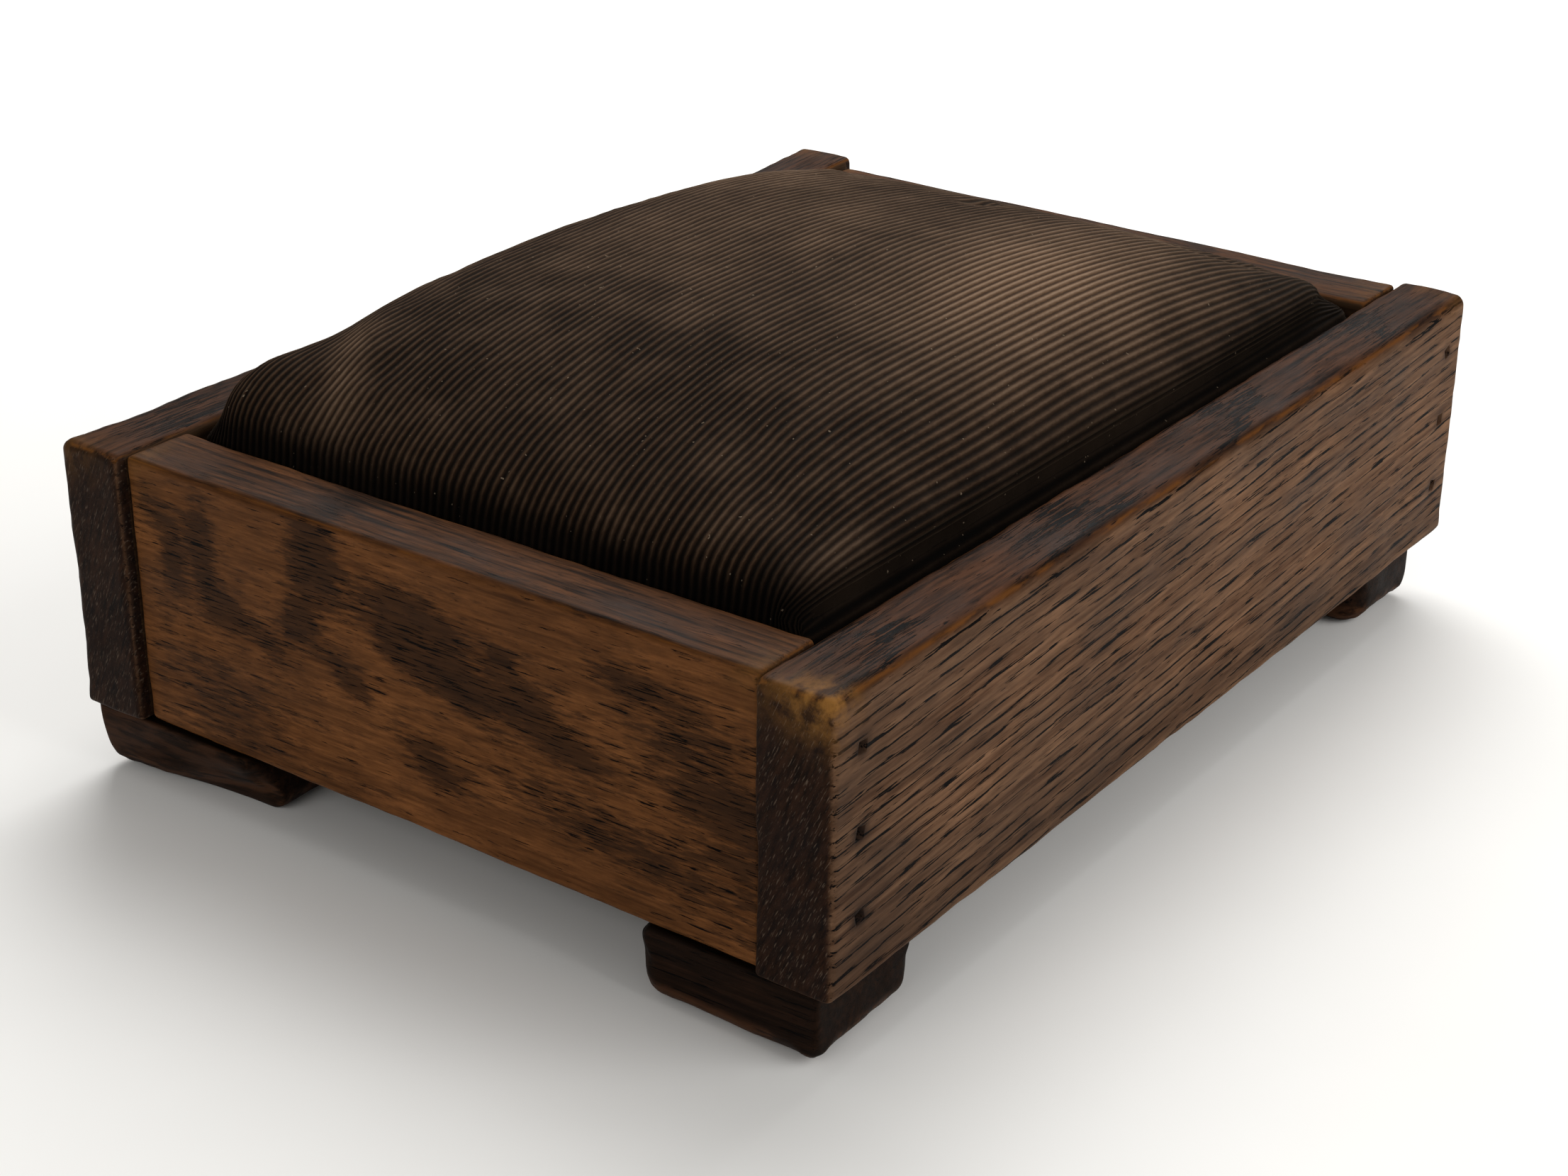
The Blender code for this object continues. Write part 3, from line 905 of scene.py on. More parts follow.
@dataclass
class Box:
    """The four nailed boards: long ones lap the ends of the short ones."""

    outer_top: float = 4.2 * MM
    inner_top: float = 2.6 * MM
    end_vertical: float = 2.8 * MM
    end_inner: float = 2.2 * MM
    left_top: float = 2.4 * MM
    right_top: float = 1.8 * MM
    short_outer: float = 1.8 * MM
    short_inner: float = 2.2 * MM
    proud: float = 3.6 * MM
    lift: float = 2.0 * MM  # how far the back board's right end has warped up
    gold: float = 1.2  # how bare the front board's left end is rubbed
    nail_depth: float = 1.6 * MM
    nail_twist: float = 0.35
    nail_stain: tuple[float, float, float] = (0.9, 2.6 * MM, 2.2 * MM)  # how dark, long and wide
    shade: tuple[Swell, ...] = (  # dark places on the long boards, by X and Z; the first is painted shade, darker towards the left end
        Swell(-0.140, 0.040, 0.35, 26 * MM, 60 * MM),
        Swell(0.0, 0.0255, 0.4, 300 * MM, 5 * MM),
        Swell(-0.100, 0.086, 0.3, 14 * MM, 5 * MM),
        Swell(-0.060, 0.088, 0.35, 9 * MM, 4 * MM),
        Swell(0.120, 0.088, 0.35, 24 * MM, 6 * MM),
        Swell(0.020, 0.090, 0.2, 50 * MM, 4 * MM),
    )
    patches: tuple[Swell, ...] = (  # dark figure on the left board, by Y and Z
        Swell(0.0, 0.055, 0.16, 300 * MM, 200 * MM),
        Swell(-0.078, 0.068, 0.45, 24 * MM, 12 * MM, 5),
        Swell(-0.088, 0.042, 0.50, 22 * MM, 16 * MM, 5),
        Swell(-0.030, 0.045, 0.25, 22 * MM, 8 * MM, 10),
        Swell(0.086, 0.079, 0.6, 6 * MM, 4 * MM),
        Swell(0.080, 0.067, 0.8, 4 * MM, 9 * MM),
        Swell(0.070, 0.074, 0.9, 4.5 * MM, 12 * MM),
        Swell(0.064, 0.058, 0.8, 7 * MM, 5 * MM, 35),
        Swell(0.050, 0.054, 0.7, 10 * MM, 3.5 * MM, 30),
        Swell(0.065, 0.034, 0.35, 34 * MM, 15 * MM, 25),
        Swell(0.033, 0.080, 1.0, 8 * MM, 12 * MM),
        Swell(0.039, 0.062, 0.9, 6 * MM, 6 * MM),
        Swell(0.024, 0.053, 0.8, 8 * MM, 4 * MM, 30),
        Swell(0.002, 0.075, 0.9, 18 * MM, 5 * MM, 10),
        Swell(0.002, 0.065, 0.9, 18 * MM, 5 * MM, 15),
        Swell(-0.007, 0.063, 0.7, 16 * MM, 6 * MM, 15),
        Swell(-0.0236, 0.0708, 1.6, 3 * MM, 3 * MM),
        Swell(-0.031, 0.062, 0.8, 10 * MM, 5 * MM, 10),
        Swell(-0.044, 0.055, 0.7, 12 * MM, 4.5 * MM, 10),
        Swell(-0.060, 0.077, 0.6, 12 * MM, 3.5 * MM, 5),
        Swell(-0.002, 0.038, 0.8, 11 * MM, 5 * MM, 20),
        Swell(-0.055, 0.036, 0.4, 22 * MM, 6 * MM, 10),
        Swell(-0.085, 0.055, 0.4, 15 * MM, 5 * MM, 0),
    )

    def make(self) -> None:
        """Builds the long boards, then the short ones."""
        self._sides()
        self._ends()

    def _sides(self) -> None:
        """Builds the front and back boards with their nail holes."""
        finish = AgedOak("fumed oak, rift sawn", Grain.ALONG_LENGTH).make()
        for seed, where, sign in ((11, "front", -1), (12, "back", 1)):
            outer, inner = "-+" if sign < 0 else "+-"
            arris = {
                f"y{outer}z+": self.outer_top,
                f"y{inner}z+": self.inner_top,
                "x-z+": self.left_top,
                "x+z+": self.right_top,
            }
            for end in "-+":
                arris[f"x{end}y{outer}"] = self.end_vertical
                arris[f"x{end}y{inner}"] = self.end_inner
            pits = nail_pits(f"frame_nail_{where}", 1, sign, self.nail_depth, self.nail_twist)
            stains = tuple(Swell(pit.place.x, pit.place.z, *self.nail_stain) for pit in pits)
            board = Board(f"side_board_{where}", arris, (1, sign), seed, pits, self.proud)
            board.patches = self.shade + stains
            if sign < 0:
                board.gold = self.gold
            else:
                board.lift = self.lift
            board.make(finish, "side_oak")

    def _ends(self) -> None:
        """Builds the left board and the right one, whose figure is mirrored."""
        finish = AgedOak(
            "fumed oak, flat sawn",
            Grain.ALONG_WIDTH,
            Cut.FLAT,
            light="784c2a",
            middle="623d20",
            dark="442813",
            stain_and_shade="17100b",
            top_light="54341d",
            top_dark="150c06",
            slant=1.0,
            density=0.09,
            pore_cut=0.32,
            pore_mm=0.4,
            pore_long_mm=9.0,
        ).make()
        for seed, where, sign in ((21, "left", -1), (22, "right", 1)):
            outer, inner = "-+" if sign < 0 else "+-"
            board = Board(f"end_board_{where}", {f"x{outer}z+": self.short_outer}, (0, sign), seed)
            board.arris[f"x{inner}z+"] = self.short_inner
            board.patches = tuple(replace(p, x=-sign * p.x, turn=-sign * p.turn) for p in self.patches)
            board.make(finish, "end_oak")


@dataclass
class Feet:
    """Four block feet with a rounded underside and bullnosed inner ends."""

    under: float = 7.0 * MM
    nose: float = 8.0 * MM
    corner: float = 1.2 * MM
    crisp: float = 0.8 * MM  # the radius of the sawn arrises above
    uneven: float = 0.05
    pit_depth: float = 1.4 * MM
    undercut: float = 6.5 * MM  # how far the back left foot is worn in at its left face
    bottom: float = 6.0 * MM  # how far the same face's inner end is worn up
    trims: dict[str, tuple[Vector, Vector]] = field(
        default_factory=lambda: {  # what is added to a foot's least and greatest corners
            "foot_back_left": (Vector((0, -5 * MM, 0)), Vector()),
            "foot_front_left": (Vector((0, 3 * MM, 0)), Vector((6 * MM, 3 * MM, 0))),
            "foot_front_right": (Vector((-6 * MM, 4 * MM, 0)), Vector((-6 * MM, 4 * MM, 0))),
        }
    )

    def make(self) -> None:
        """Builds the feet, each with two nail holes underneath."""
        finish = AgedOak(
            "fumed oak, ebonised",
            Grain.ALONG_WIDTH,
            light="2a190f",
            middle="1b1009",
            dark="0e0704",
            top_light="160d07",
            top_dark="0a0603",
            worn="432a1a",
            density=0.1,
        ).make()
        names = sorted(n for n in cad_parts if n.startswith("foot_") and "nail" not in n)
        for seed, name in enumerate(names, start=31):
            self._foot(name, seed, finish)

    def _arris(self, name: str) -> dict[str, float]:
        """Sets a foot's arrises: crisp at the box's corner, round elsewhere.

        Args:
            name: The foot's node.

        Returns:
            The radius of each.
        """
        x_out, x_in = "-+" if "left" in name else "+-"
        y_out, y_in = "-+" if "front" in name else "+-"
        arris = {f"x{x_out}y{y_out}": self.corner}
        arris |= dict.fromkeys((f"x{x_in}y{y_in}", f"x{x_in}y{y_out}", f"x{x_out}y{y_in}"), self.nose)
        below = ("x-z-", "x+z-", "y-z-", "y+z-", f"x{x_in}z+", f"y{y_in}z+")
        return arris | dict.fromkeys(below, self.under)

    def _foot(self, name: str, seed: int, finish: Finish) -> None:
        """Builds one foot.

        Args:
            name: Its node.
            seed: What its unevenness is drawn from.
            finish: Its wood.
        """
        low, high = (Vector(corner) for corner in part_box(name))
        if name in self.trims:
            low += self.trims[name][0]
            high += self.trims[name][1]
        pits = nail_pits(name.replace("foot", "foot_nail"), 2, -1, self.pit_depth)
        timber = Timber(low, high, self._arris(name), self.crisp, band=10 * MM, fine=0.8 * MM)
        timber.seed, timber.uneven, timber.pits = seed, self.uneven, pits
        points, faces, marks = timber.build()
        normal = marks.pop("normal")
        # On the feet the wear mark pales the lower rounded arrises: painted light bounced from the floor,
        # with some scuffing.
        down = -normal[:, 2]
        marks["wear"] = 1.3 * smooth(down, 0.05, 0.4) * (1 - 0.8 * smooth(down, 0.75, 0.95))
        marks["end"] = marks["inner"] = marks["corner"] = 0.0 * marks["wear"]
        if name == "foot_back_left":
            marks["wear"] += 0.6 * smooth(-normal[:, 0], 0.4, 0.9)
            self._wear_away(points, np.array(low), np.array(high))
        seat(new_piece(name, points, faces, finish, marks), Body.FRAME, "foot_oak", name)

    def _wear_away(self, points: Array, low: Array, high: Array) -> None:
        """Cuts one foot away under its left face, more towards its inner end.

        Args:
            points: The foot's points, which it moves.
            low: Its box's least corner.
            high: Its box's greatest corner.
        """
        part = (points - low) / (high - low)
        depth = self.undercut * (1 - 0.65 * smooth(part[:, 1], 0.0, 1.0))
        points[:, 0] += depth * (1 - smooth(part[:, 2], 0.0, 0.9)) * (1 - smooth(part[:, 0], 0.0, 0.45))
        raised = self.bottom * (1 - smooth(part[:, 1], 0.0, 0.8)) * (1 - smooth(part[:, 0], 0.02, 0.27))
        points[:, 2] += raised * (1 - part[:, 2])


@dataclass
class Pine:
    """The raw pine inside: the pad's two cleats and its board."""

    def make(self) -> None:
        """Builds the cleats on the frame and the board in the pad."""
        finish = Mottled("raw aged pine", "5f462c", "8f6f47", (70.0, 2.2, 2.2), 0.75).make()
        for index, name in enumerate(("cleat_front", "cleat_back", "pad_board")):
            timber = Timber(*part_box(name), plain=0.8 * MM, band=3 * MM, fine=0.6 * MM, coarse=6 * MM)
            timber.seed = 41 + index
            points, faces, marks = timber.build()
            marks.pop("normal")
            body = Body.PAD if name == "pad_board" else Body.FRAME
            seat(new_piece(name, points, faces, finish, marks), body, "pine", name)


# ---------------------------------------------------------------- nails and tacks


@dataclass
class Fastener:
    """A kind of nail or tack, its head and shank set on points by Geometry Nodes."""

    piece: str
    prefix: str
    body: Body
    slot: str
    aim: str  # where the heads look: out, in or down
    head: float  # half width
    head_height: float
    shank: float
    length: float
    sides: int = 4
    seed: int = 1
    neck: float = 0.74  # where the head begins on the turned profile, of whose 16 steps it has four

    def _spots(self) -> tuple[list[Vector], list[Vector], list[str]]:
        """Finds where each one goes from its node's box.

        Returns:
            The heads' places, the ways that they look, and the nodes' names.
        """
        spots, ways, names = [], [], []
        for name in sorted(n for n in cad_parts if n.startswith(self.prefix)):
            low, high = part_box(name)
            middle = (low + high) / 2
            side = 1 if middle.y > 0 else -1
            way = Vector({"out": (0, side, 0), "in": (0, -side, 0), "down": (0, 0, -1)}[self.aim])
            reach = max(high - low) / 2
            spots.append(middle + way * reach)
            ways.append(way)
            names.append(name)
        return spots, ways, names

    def _tree(self) -> Tree:
        """Builds the tree that sets one fastener on each point.

        Returns:
            The node group, with named inputs for its sizes.
        """
        sizes = dict.fromkeys(("Head", "Head Height", "Shank", "Length"), "Float")
        tree, given = new_tree(f"{self.piece} set", {**sizes, "Sides": "Int", "Seed": "Int"})

        # One turned profile: a tapered shank up to a head with a worn edge.
        size = {"Vertices": given["Sides"], "Side Segments": 16, "Fill Segments": 3}
        size |= {"Radius": 1.0, "Depth": 1.0}
        blank = add(tree, "GeometryNodeMeshCylinder", size, out="Mesh")
        parts = add(tree, SPLIT, (add(tree, "GeometryNodeInputPosition"),)).node.outputs
        height = calc(tree, "ADD", parts[2], 0.5)
        in_head = calc(tree, "GREATER_THAN", height, self.neck)
        down = add(tree, RANGE, (height, 0.0, self.neck, 1.0, 0.0))
        shank_z = calc(tree, "MULTIPLY", calc(tree, "MULTIPLY", down, given["Length"]), -1.0)
        rise = add(tree, RANGE, (height, 0.75, 1.0, 0.0, 1.0))
        head_z = calc(tree, "MULTIPLY", calc(tree, "SUBTRACT", rise, 1.0), given["Head Height"])
        taper = add(tree, RANGE, (down, 0.0, 1.0, 1.0, 0.35))
        shank_r = calc(tree, "MULTIPLY", taper, given["Shank"])
        dome = calc(tree, "SQRT", calc(tree, "SUBTRACT", 1.04, calc(tree, "POWER", rise, 2.0)))
        head_r = calc(tree, "MULTIPLY", dome, given["Head"])
        radius = add(tree, MIX, {0: in_head, 2: shank_r, 3: head_r})
        level = add(tree, MIX, {0: in_head, 2: shank_z, 3: head_z})
        x, y = (calc(tree, "MULTIPLY", parts[axis], radius) for axis in (0, 1))
        place = add(tree, "ShaderNodeCombineXYZ", (x, y, level))
        shaped = add(tree, "GeometryNodeSetPosition", {"Geometry": blank, "Position": place})
        aim = add(tree, "GeometryNodeInputNamedAttribute", {"Name": "aim"}, data_type="FLOAT_VECTOR")
        turned = add(tree, "FunctionNodeAlignRotationToVector", {"Vector": aim}, axis="Z")
        limits = {2: -0.3, 3: 0.3, "Seed": given["Seed"]}
        twist = add(tree, "FunctionNodeRandomValue", limits, out=1, data_type="FLOAT")
        twist = add(tree, "FunctionNodeAxisAngleToRotation", {"Axis": (0, 0, 1), "Angle": twist})
        turned = add(tree, "FunctionNodeRotateRotation", (turned, twist), rotation_space="LOCAL")
        copies = {"Points": given["Geometry"], "Instance": shaped, "Rotation": turned}
        end_tree(tree, add(tree, "GeometryNodeInstanceOnPoints", copies), given["Finish"])
        return tree

    def make(self, finish: Finish) -> Piece:
        """Sets the fasteners and turns them into one plain mesh.

        Args:
            finish: Their metal.

        Returns:
            The piece that holds them all.
        """
        spots, ways, names = self._spots()
        base = new_piece(self.piece, np.array(spots), [], finish, {"aim": np.array(ways, float)})
        values = {
            "Head": self.head,
            "Head Height": self.head_height,
            "Shank": self.shank,
            "Length": self.length,
            "Sides": self.sides,
            "Seed": self.seed,
            "Finish": finish,
        }
        return seat(apply_tree(base, self._tree(), values), self.body, self.slot, *names)


@dataclass
class Ironwork:
    """Every nail and tack, one piece for each kind."""

    def make(self) -> None:
        """Sets the frame, foot and cleat nails and the cover's tacks."""
        iron = Mottled("oxidised cut-nail iron", "060403", "1c1612", (1.2, 1.2, 1.2), 0.85).make()
        steel = Mottled("dull blued steel", "1c1a19", "4a4642", (2.0, 2.0, 2.0), 0.5, 0.9).make()
        # The part, the way the heads look, four sizes in mm, how many sides, and the seed.
        rows = (
            ("frame", "out", 1.15, 0.9, 0.9, 33, 4, 1),
            ("foot", "down", 1.3, 0.9, 1.0, 27, 4, 2),
            ("cleat", "in", 1.1, 0.7, 0.8, 21, 4, 3),
            ("cover", "down", 4.0, 1.4, 0.9, 5.8, 24, 4),
        )
        for part, aim, *sizes, sides, seed in rows:
            head, head_height, shank, length = (size * MM for size in sizes)
            if part == "cover":
                kind, body, slot, finish = "tack", Body.PAD, "tack_steel", steel
            else:
                kind, body, slot, finish = "nail", Body.FRAME, "nail_iron", iron
            stem = f"{part}_{kind}"
            sized = (head, head_height, shank, length, sides, seed)
            Fastener(f"{stem}s", stem, body, slot, aim, *sized).make(finish)


# ---------------------------------------------------------------- the pad


@dataclass
class Pad:
    """The drop-in pad: a stuffed crown under a ribbed cover that turns under its board."""

    pitch: float = 2.35 * MM
    rib_height: float = 0.42 * MM
    per_rib: int = 5
    columns: int = 88
    fall: tuple[float, float, float, float] = (3.4, 2.35, 4.3, 8.0)  # how full it is at -X, +X, -Y, +Y
    wall: float = 10.5 * MM  # how high the sides stand before they turn over
    square: float = 24.0  # how sharply they turn
    slumps: tuple[tuple[int, int, float, float], ...] = (  # a corner's sides, how low it is, its reach
        (-1, 1, 0.45, 9.0 * MM),
        (1, -1, 0.6, 15.0 * MM),
    )
    lean: float = 2.0 * MM  # how much higher they stand at the left than in the middle
    foot: float = 3.0 * MM  # how far below the rim the crown begins
    corner: float = 3.5 * MM
    turn: float = 1.6 * MM
    thickness: float = 1.4 * MM
    hem: float = 25.0 * MM
    inset: float = 0.5 * MM
    rib_turn: float = 11.0 * MM  # how near a corner the ribs turn level
    gap: float = 0.6 * MM  # the air round the stuffing in its node's box
    under: float = 2.2 * MM  # the air between its crown and the cover
    coarse: tuple[int, int] = (44, 32)  # the steps along and across it
    voxel: float = 5.0 * MM
    pressure: float = 4.0
    frames: int = 20
    most: float = 5.0 * MM  # how far the simulation may move the stuffing
    tucks: tuple[float, float, float] = (0.8 * MM, 4.2 * MM, 1.5 * MM)  # ends, front and back
    swells: tuple[Swell, ...] = (
        Swell(0.083, 0.003, -2.4 * MM, 7 * MM, 5 * MM),
        Swell(0.080, 0.078, 0.9 * MM, 26 * MM, 3.5 * MM, 4),
        Swell(0.092, 0.055, 0.8 * MM, 22 * MM, 4 * MM, 6),
        Swell(0.090, 0.085, -3.0 * MM, 38 * MM, 18 * MM, 0),
        Swell(-0.100, 0.060, 1.5 * MM, 30 * MM, 6 * MM, 35),
        Swell(-0.114, 0.082, 2.6 * MM, 12 * MM, 10 * MM, 0),
        Swell(-0.080, 0.080, -1.5 * MM, 16 * MM, 12 * MM, 0),
        Swell(0.040, 0.085, -2.2 * MM, 26 * MM, 16 * MM, 0),
        Swell(0.118, -0.086, 2.6 * MM, 14 * MM, 8 * MM, 0),
        Swell(0.108, 0.0, -1.6 * MM, 14 * MM, 70 * MM, 0),
        Swell(-0.035, 0.074, 1.0 * MM, 40 * MM, 16 * MM, 0),
        Swell(0.0, -0.02, 0.6 * MM, 60 * MM, 30 * MM, 10),
    )

    def __post_init__(self) -> None:
        """Takes the pad's sizes from its nodes."""
        self.low, self.high = (np.array(v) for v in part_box("pad_cover"))
        self.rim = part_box("side_board_front")[1].z
        self.start = self.rim - self.foot
        self.half = (self.high - self.low)[:2] / 2 - self.inset
        self.crown = self.high[2] - self.start

    def _spread(self, half: float, count: int) -> tuple[Array, float]:
        """Spaces points evenly along the crown's curve.

        Args:
            half: Half the pad's size that way.
            count: How many steps.

        Returns:
            Each point's part of the half size, and the curve's length.
        """
        part = np.sin(np.linspace(-math.pi / 2, math.pi / 2, 4001))
        still = np.zeros_like(part)
        long = half > self.half[1] * 1.1
        height = self._dome(part, still, self.crown) if long else self._dome(still, part, self.crown)
        length = np.concatenate([[0], np.cumsum(np.hypot(np.diff(part * half), np.diff(height)))])
        return np.interp(np.linspace(0, length[-1], count + 1), length, part), length[-1]

    def _dome(self, x: Array, y: Array, crown: float) -> Array:
        """Shapes the crown.

        Args:
            x: Places along the pad, as parts of its half size.
            y: Places across it.
            crown: How high its middle stands.

        Returns:
            The height over the crown's foot at each place.
        """
        fall_x = np.where(x < 0, self.fall[0], self.fall[1])
        fall_y = np.where(y < 0, self.fall[2], self.fall[3])
        soft = np.clip(1 - np.abs(x) ** fall_x, 0, 1) * np.clip(1 - np.abs(y) ** fall_y, 0, 1)
        square_x = np.sqrt(np.clip(1 - np.abs(x) ** self.square, 0, 1))
        square_y = np.sqrt(np.clip(1 - np.abs(y) ** self.square, 0, 1))
        wall = self.wall - self.lean * x
        # The stuffing has slumped at two corners.
        for side_x, side_y, part, reach in self.slumps:
            gaps = ((x - side_x) * self.half[0]) ** 2 + ((y - side_y) * self.half[1]) ** 2
            wall = wall * (1 - part * np.exp(-gaps / reach**2))
        return wall * square_x * square_y + (crown - wall) * soft

    def _round_corners(self, plan: Array, half: Array) -> Array:
        """Turns the plan's square corners to round ones.

        Args:
            plan: Places in plan.
            half: Half the pad's sizes.

        Returns:
            The same places, drawn in at the corners.
        """
        core = np.clip(plan, -(half - self.corner), half - self.corner)
        off = plan - core
        length = np.linalg.norm(off, axis=1)
        return core + off * (np.abs(off).max(1) / np.maximum(length, 1e-9))[:, None]

    @staticmethod
    def _bands(rings: Array) -> list[Array]:
        """Joins each ring to the next one below it.

        Args:
            rings: Vertex numbers, one row for each ring.

        Returns:
            Quads, one array for each band.
        """
        faces = []
        for upper, lower in zip(rings[:-1], rings[1:]):
            faces.append(np.stack([upper, lower, np.roll(lower, -1), np.roll(upper, -1)], -1))
        return faces

    @staticmethod
    def _closed(faces: list[Array], ring: Array, hub: int) -> list[list[int]]:
        """Closes a skin with a fan from its last ring to one point.

        Args:
            faces: The skin's quads.
            ring: The last ring's vertex numbers.
            hub: The point's number.

        Returns:
            Every face.
        """
        fan = [[int(a), hub, int(b)] for a, b in zip(ring, np.roll(ring, -1))]
        return np.concatenate(faces).tolist() + fan

    def _top(self, columns: int, rows: int, half: Array, crown: float) -> tuple[Array, list, Array]:
        """Builds the crown's grid.

        Args:
            columns: How many steps along the pad.
            rows: How many across it.
            half: Half its sizes.
            crown: How high its middle stands.

        Returns:
            Its points, its faces, and its border's vertex numbers, anticlockwise from above.
        """
        x, _ = self._spread(half[0], columns)
        y, _ = self._spread(half[1], rows)
        gx, gy = np.meshgrid(x, y, indexing="ij")
        plan = self._round_corners(np.stack([gx.ravel() * half[0], gy.ravel() * half[1]], 1), half)
        height = self.start + self._dome(gx.ravel(), gy.ravel(), crown)
        ids = np.arange(gx.size).reshape(gx.shape)
        quads = np.stack([ids[:-1, :-1], ids[1:, :-1], ids[1:, 1:], ids[:-1, 1:]], -1).reshape(-1, 4)
        border = np.concatenate([ids[:-1, 0], ids[-1, :-1], ids[:0:-1, -1], ids[0, :0:-1]])
        return np.column_stack([plan, height]), [quads], border

    def _stuffing(self, finish: Finish) -> tuple[Piece, Array, Array]:
        """Swells the stuffing with a short cloth simulation.

        Args:
            finish: The wadding.

        Returns:
            The stuffing, and its points before and after it swelled.
        """
        low, high = (np.array(v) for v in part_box("pad_stuffing"))
        half = (high - low)[:2] / 2 - self.gap
        crown = self.crown - self.thickness - self.under
        points, faces, border = self._top(*self.coarse, half, crown)
        rings, levels = [border], np.linspace(self.start, low[2] + 0.4 * MM, 5)[1:]
        for level in levels:
            ring = points[border].copy()
            ring[:, 2] = level
            rings.append(np.arange(len(points), len(points) + len(ring)))
            points = np.vstack([points, ring])
        faces += self._bands(rings)
        hub = len(points)
        points = np.vstack([points, [0, 0, levels[-1]]])
        piece = new_piece("pad_wadding", points, self._closed(faces, rings[-1], hub), finish)
        return piece, *self._swollen(piece)

    def _swollen(self, piece: Piece) -> tuple[Array, Array]:
        """Runs the cloth simulation, pressed out from inside and held below the rim.

        Args:
            piece: The stuffing, left with its swollen mesh.

        Returns:
            Its points before and after.
        """
        voxel = piece.modifiers.new("voxels", "REMESH")
        voxel.mode, voxel.voxel_size = "VOXEL", self.voxel
        bake(piece)
        before = coordinates(piece)
        pins = piece.vertex_groups.new(name="held")
        pins.add([int(k) for k in np.flatnonzero(before[:, 2] < self.rim)], 1.0, "REPLACE")
        cloth = piece.modifiers.new("swell", "CLOTH")
        cloth.settings.use_pressure = True
        cloth.settings.uniform_pressure_force = self.pressure
        cloth.settings.vertex_group_mass = pins.name
        cloth.settings.effector_weights.gravity = 0.0
        for step in range(1, self.frames + 1):
            bpy.context.scene.frame_set(step)
        bake(piece)
        bpy.context.scene.frame_set(1)
        after = coordinates(piece)
        move = after - before
        size = np.linalg.norm(move, axis=1)
        after = before + move * np.minimum(1, self.most / np.maximum(size, 1e-9))[:, None]
        LOG.info("the stuffing swelled by up to %.1f mm", 1000 * size.max())
        piece.data.vertices.foreach_set("co", after.astype(np.float32).ravel())
        piece.vertex_groups.clear()
        return before, after

    def _shape(self, points: Array) -> Array:
        """Adds the soft rises and hollows, and the narrow gap at the rim.

        Args:
            points: The plain pad's points.

        Returns:
            The same points, moved.
        """
        free = smooth(points[:, 2], self.rim - 1 * MM, self.rim + 9 * MM)
        lift = sum(swell(points) for swell in self.swells)
        lift = lift + 0.5 * MM * Drift(60 * MM, 71)(points)
        points = points.copy()
        points[:, 2] += lift * free
        wander = Drift(45 * MM, 72)(points * [0.35, 1, 1])
        points[:, 1] += 0.9 * MM * wander * free * (1 - np.abs(points[:, 1] / self.half[1]) ** 6)
        # The cover tucks in at the rim and bellies out just above it.
        part = points[:, :2] / self.half
        level = points[:, 2] - self.rim
        ends, front, back = self.tucks
        for axis, deep in ((0, ends), (1, np.where(part[:, 1] < 0, front, back))):
            edge = smooth(np.abs(part[:, axis]), 0.86, 0.97)
            tuck = deep * np.exp(-((level / (5 * MM)) ** 2))
            belly = 0.25 * deep * np.exp(-(((level - 9 * MM) / (4 * MM)) ** 2))
            points[:, axis] += np.sign(part[:, axis]) * edge * (belly - tuck)
        return points

    def _nap_and_sheen(self, points: Array) -> Array:
        """Finds how pale the pile is from rubbing, with a painted sheen and painted highlights added.

        Args:
            points: The cover's points.

        Returns:
            The mark at each point: rubbed nap with painted sheen.
        """
        rubbed = (
            # The first is a painted sheen right of the middle; the fourth and fifth are painted highlights
            # on ridges at the left corners; the others pale the pile.
            Swell(0.025, -0.052, 0.95, 58 * MM, 26 * MM, 6),
            Swell(0.01, 0.02, 0.3, 70 * MM, 45 * MM, 0),
            Swell(0.07, 0.06, 0.3, 40 * MM, 20 * MM, 0),
            Swell(-0.105, 0.062, 0.35, 24 * MM, 5 * MM, 35),
            Swell(-0.112, -0.086, 0.3, 12 * MM, 3 * MM, 0),
        )
        return 0.01 + sum(spot(points) for spot in rubbed) + 0.04 * Drift(24 * MM, 73)(points)

    def _path(self) -> list[tuple[float, float, float]]:
        """Traces the cover's section: down the wall, under the hem and back up inside.

        Returns:
            Each step's inset, its level, and how high the ribs stand there.
        """
        floor = self.low[2]
        wall = self.start - floor - self.turn
        path = [(0.0, self.start - level, 1.0) for level in np.linspace(0, wall, 26)[1:]]
        for angle in np.linspace(0, math.pi / 2, 5)[1:]:
            inset, level = self.turn * (1 - math.cos(angle)), self.turn * (1 - math.sin(angle))
            path.append((inset, floor + level, 1.0))
        for inward in np.linspace(self.turn, self.hem, 8)[1:]:
            path.append((inward, floor, 0.6 if inward < self.hem else 0.0))
        path.append((self.hem, floor + 0.75 * self.thickness, 0.0))
        under = floor + 0.8 * self.thickness
        path.append((0.6 * self.hem, under, 0.0))
        path.append((self.thickness, under, 0.0))
        path.append((self.thickness, self.start, 0.0))
        return path

    def _skin(self) -> tuple[Array, list, dict[str, Array]]:
        """Builds the cover: crown, walls, hem and a plain inner skin, all one closed mesh.

        Returns:
            Points, faces, and the marks cloth and ribbed.
        """
        step = self.pitch / self.per_rib
        _, length = self._spread(self.half[1], 10)
        rows = 2 * round(length / step / 2)
        points, faces, border = self._top(self.columns, rows, self.half, self.crown)
        _, run = self._spread(self.half[0], 10)
        s = np.linspace(-run / 2, run / 2, self.columns + 1)
        t = np.linspace(-rows / 2, rows / 2, rows + 1) * step
        gs, gt = np.meshgrid(s, t, indexing="ij")
        cloth = np.column_stack([gs.ravel(), gt.ravel(), np.zeros(gs.size)])
        rim, rim_cloth = points[border], cloth[border]
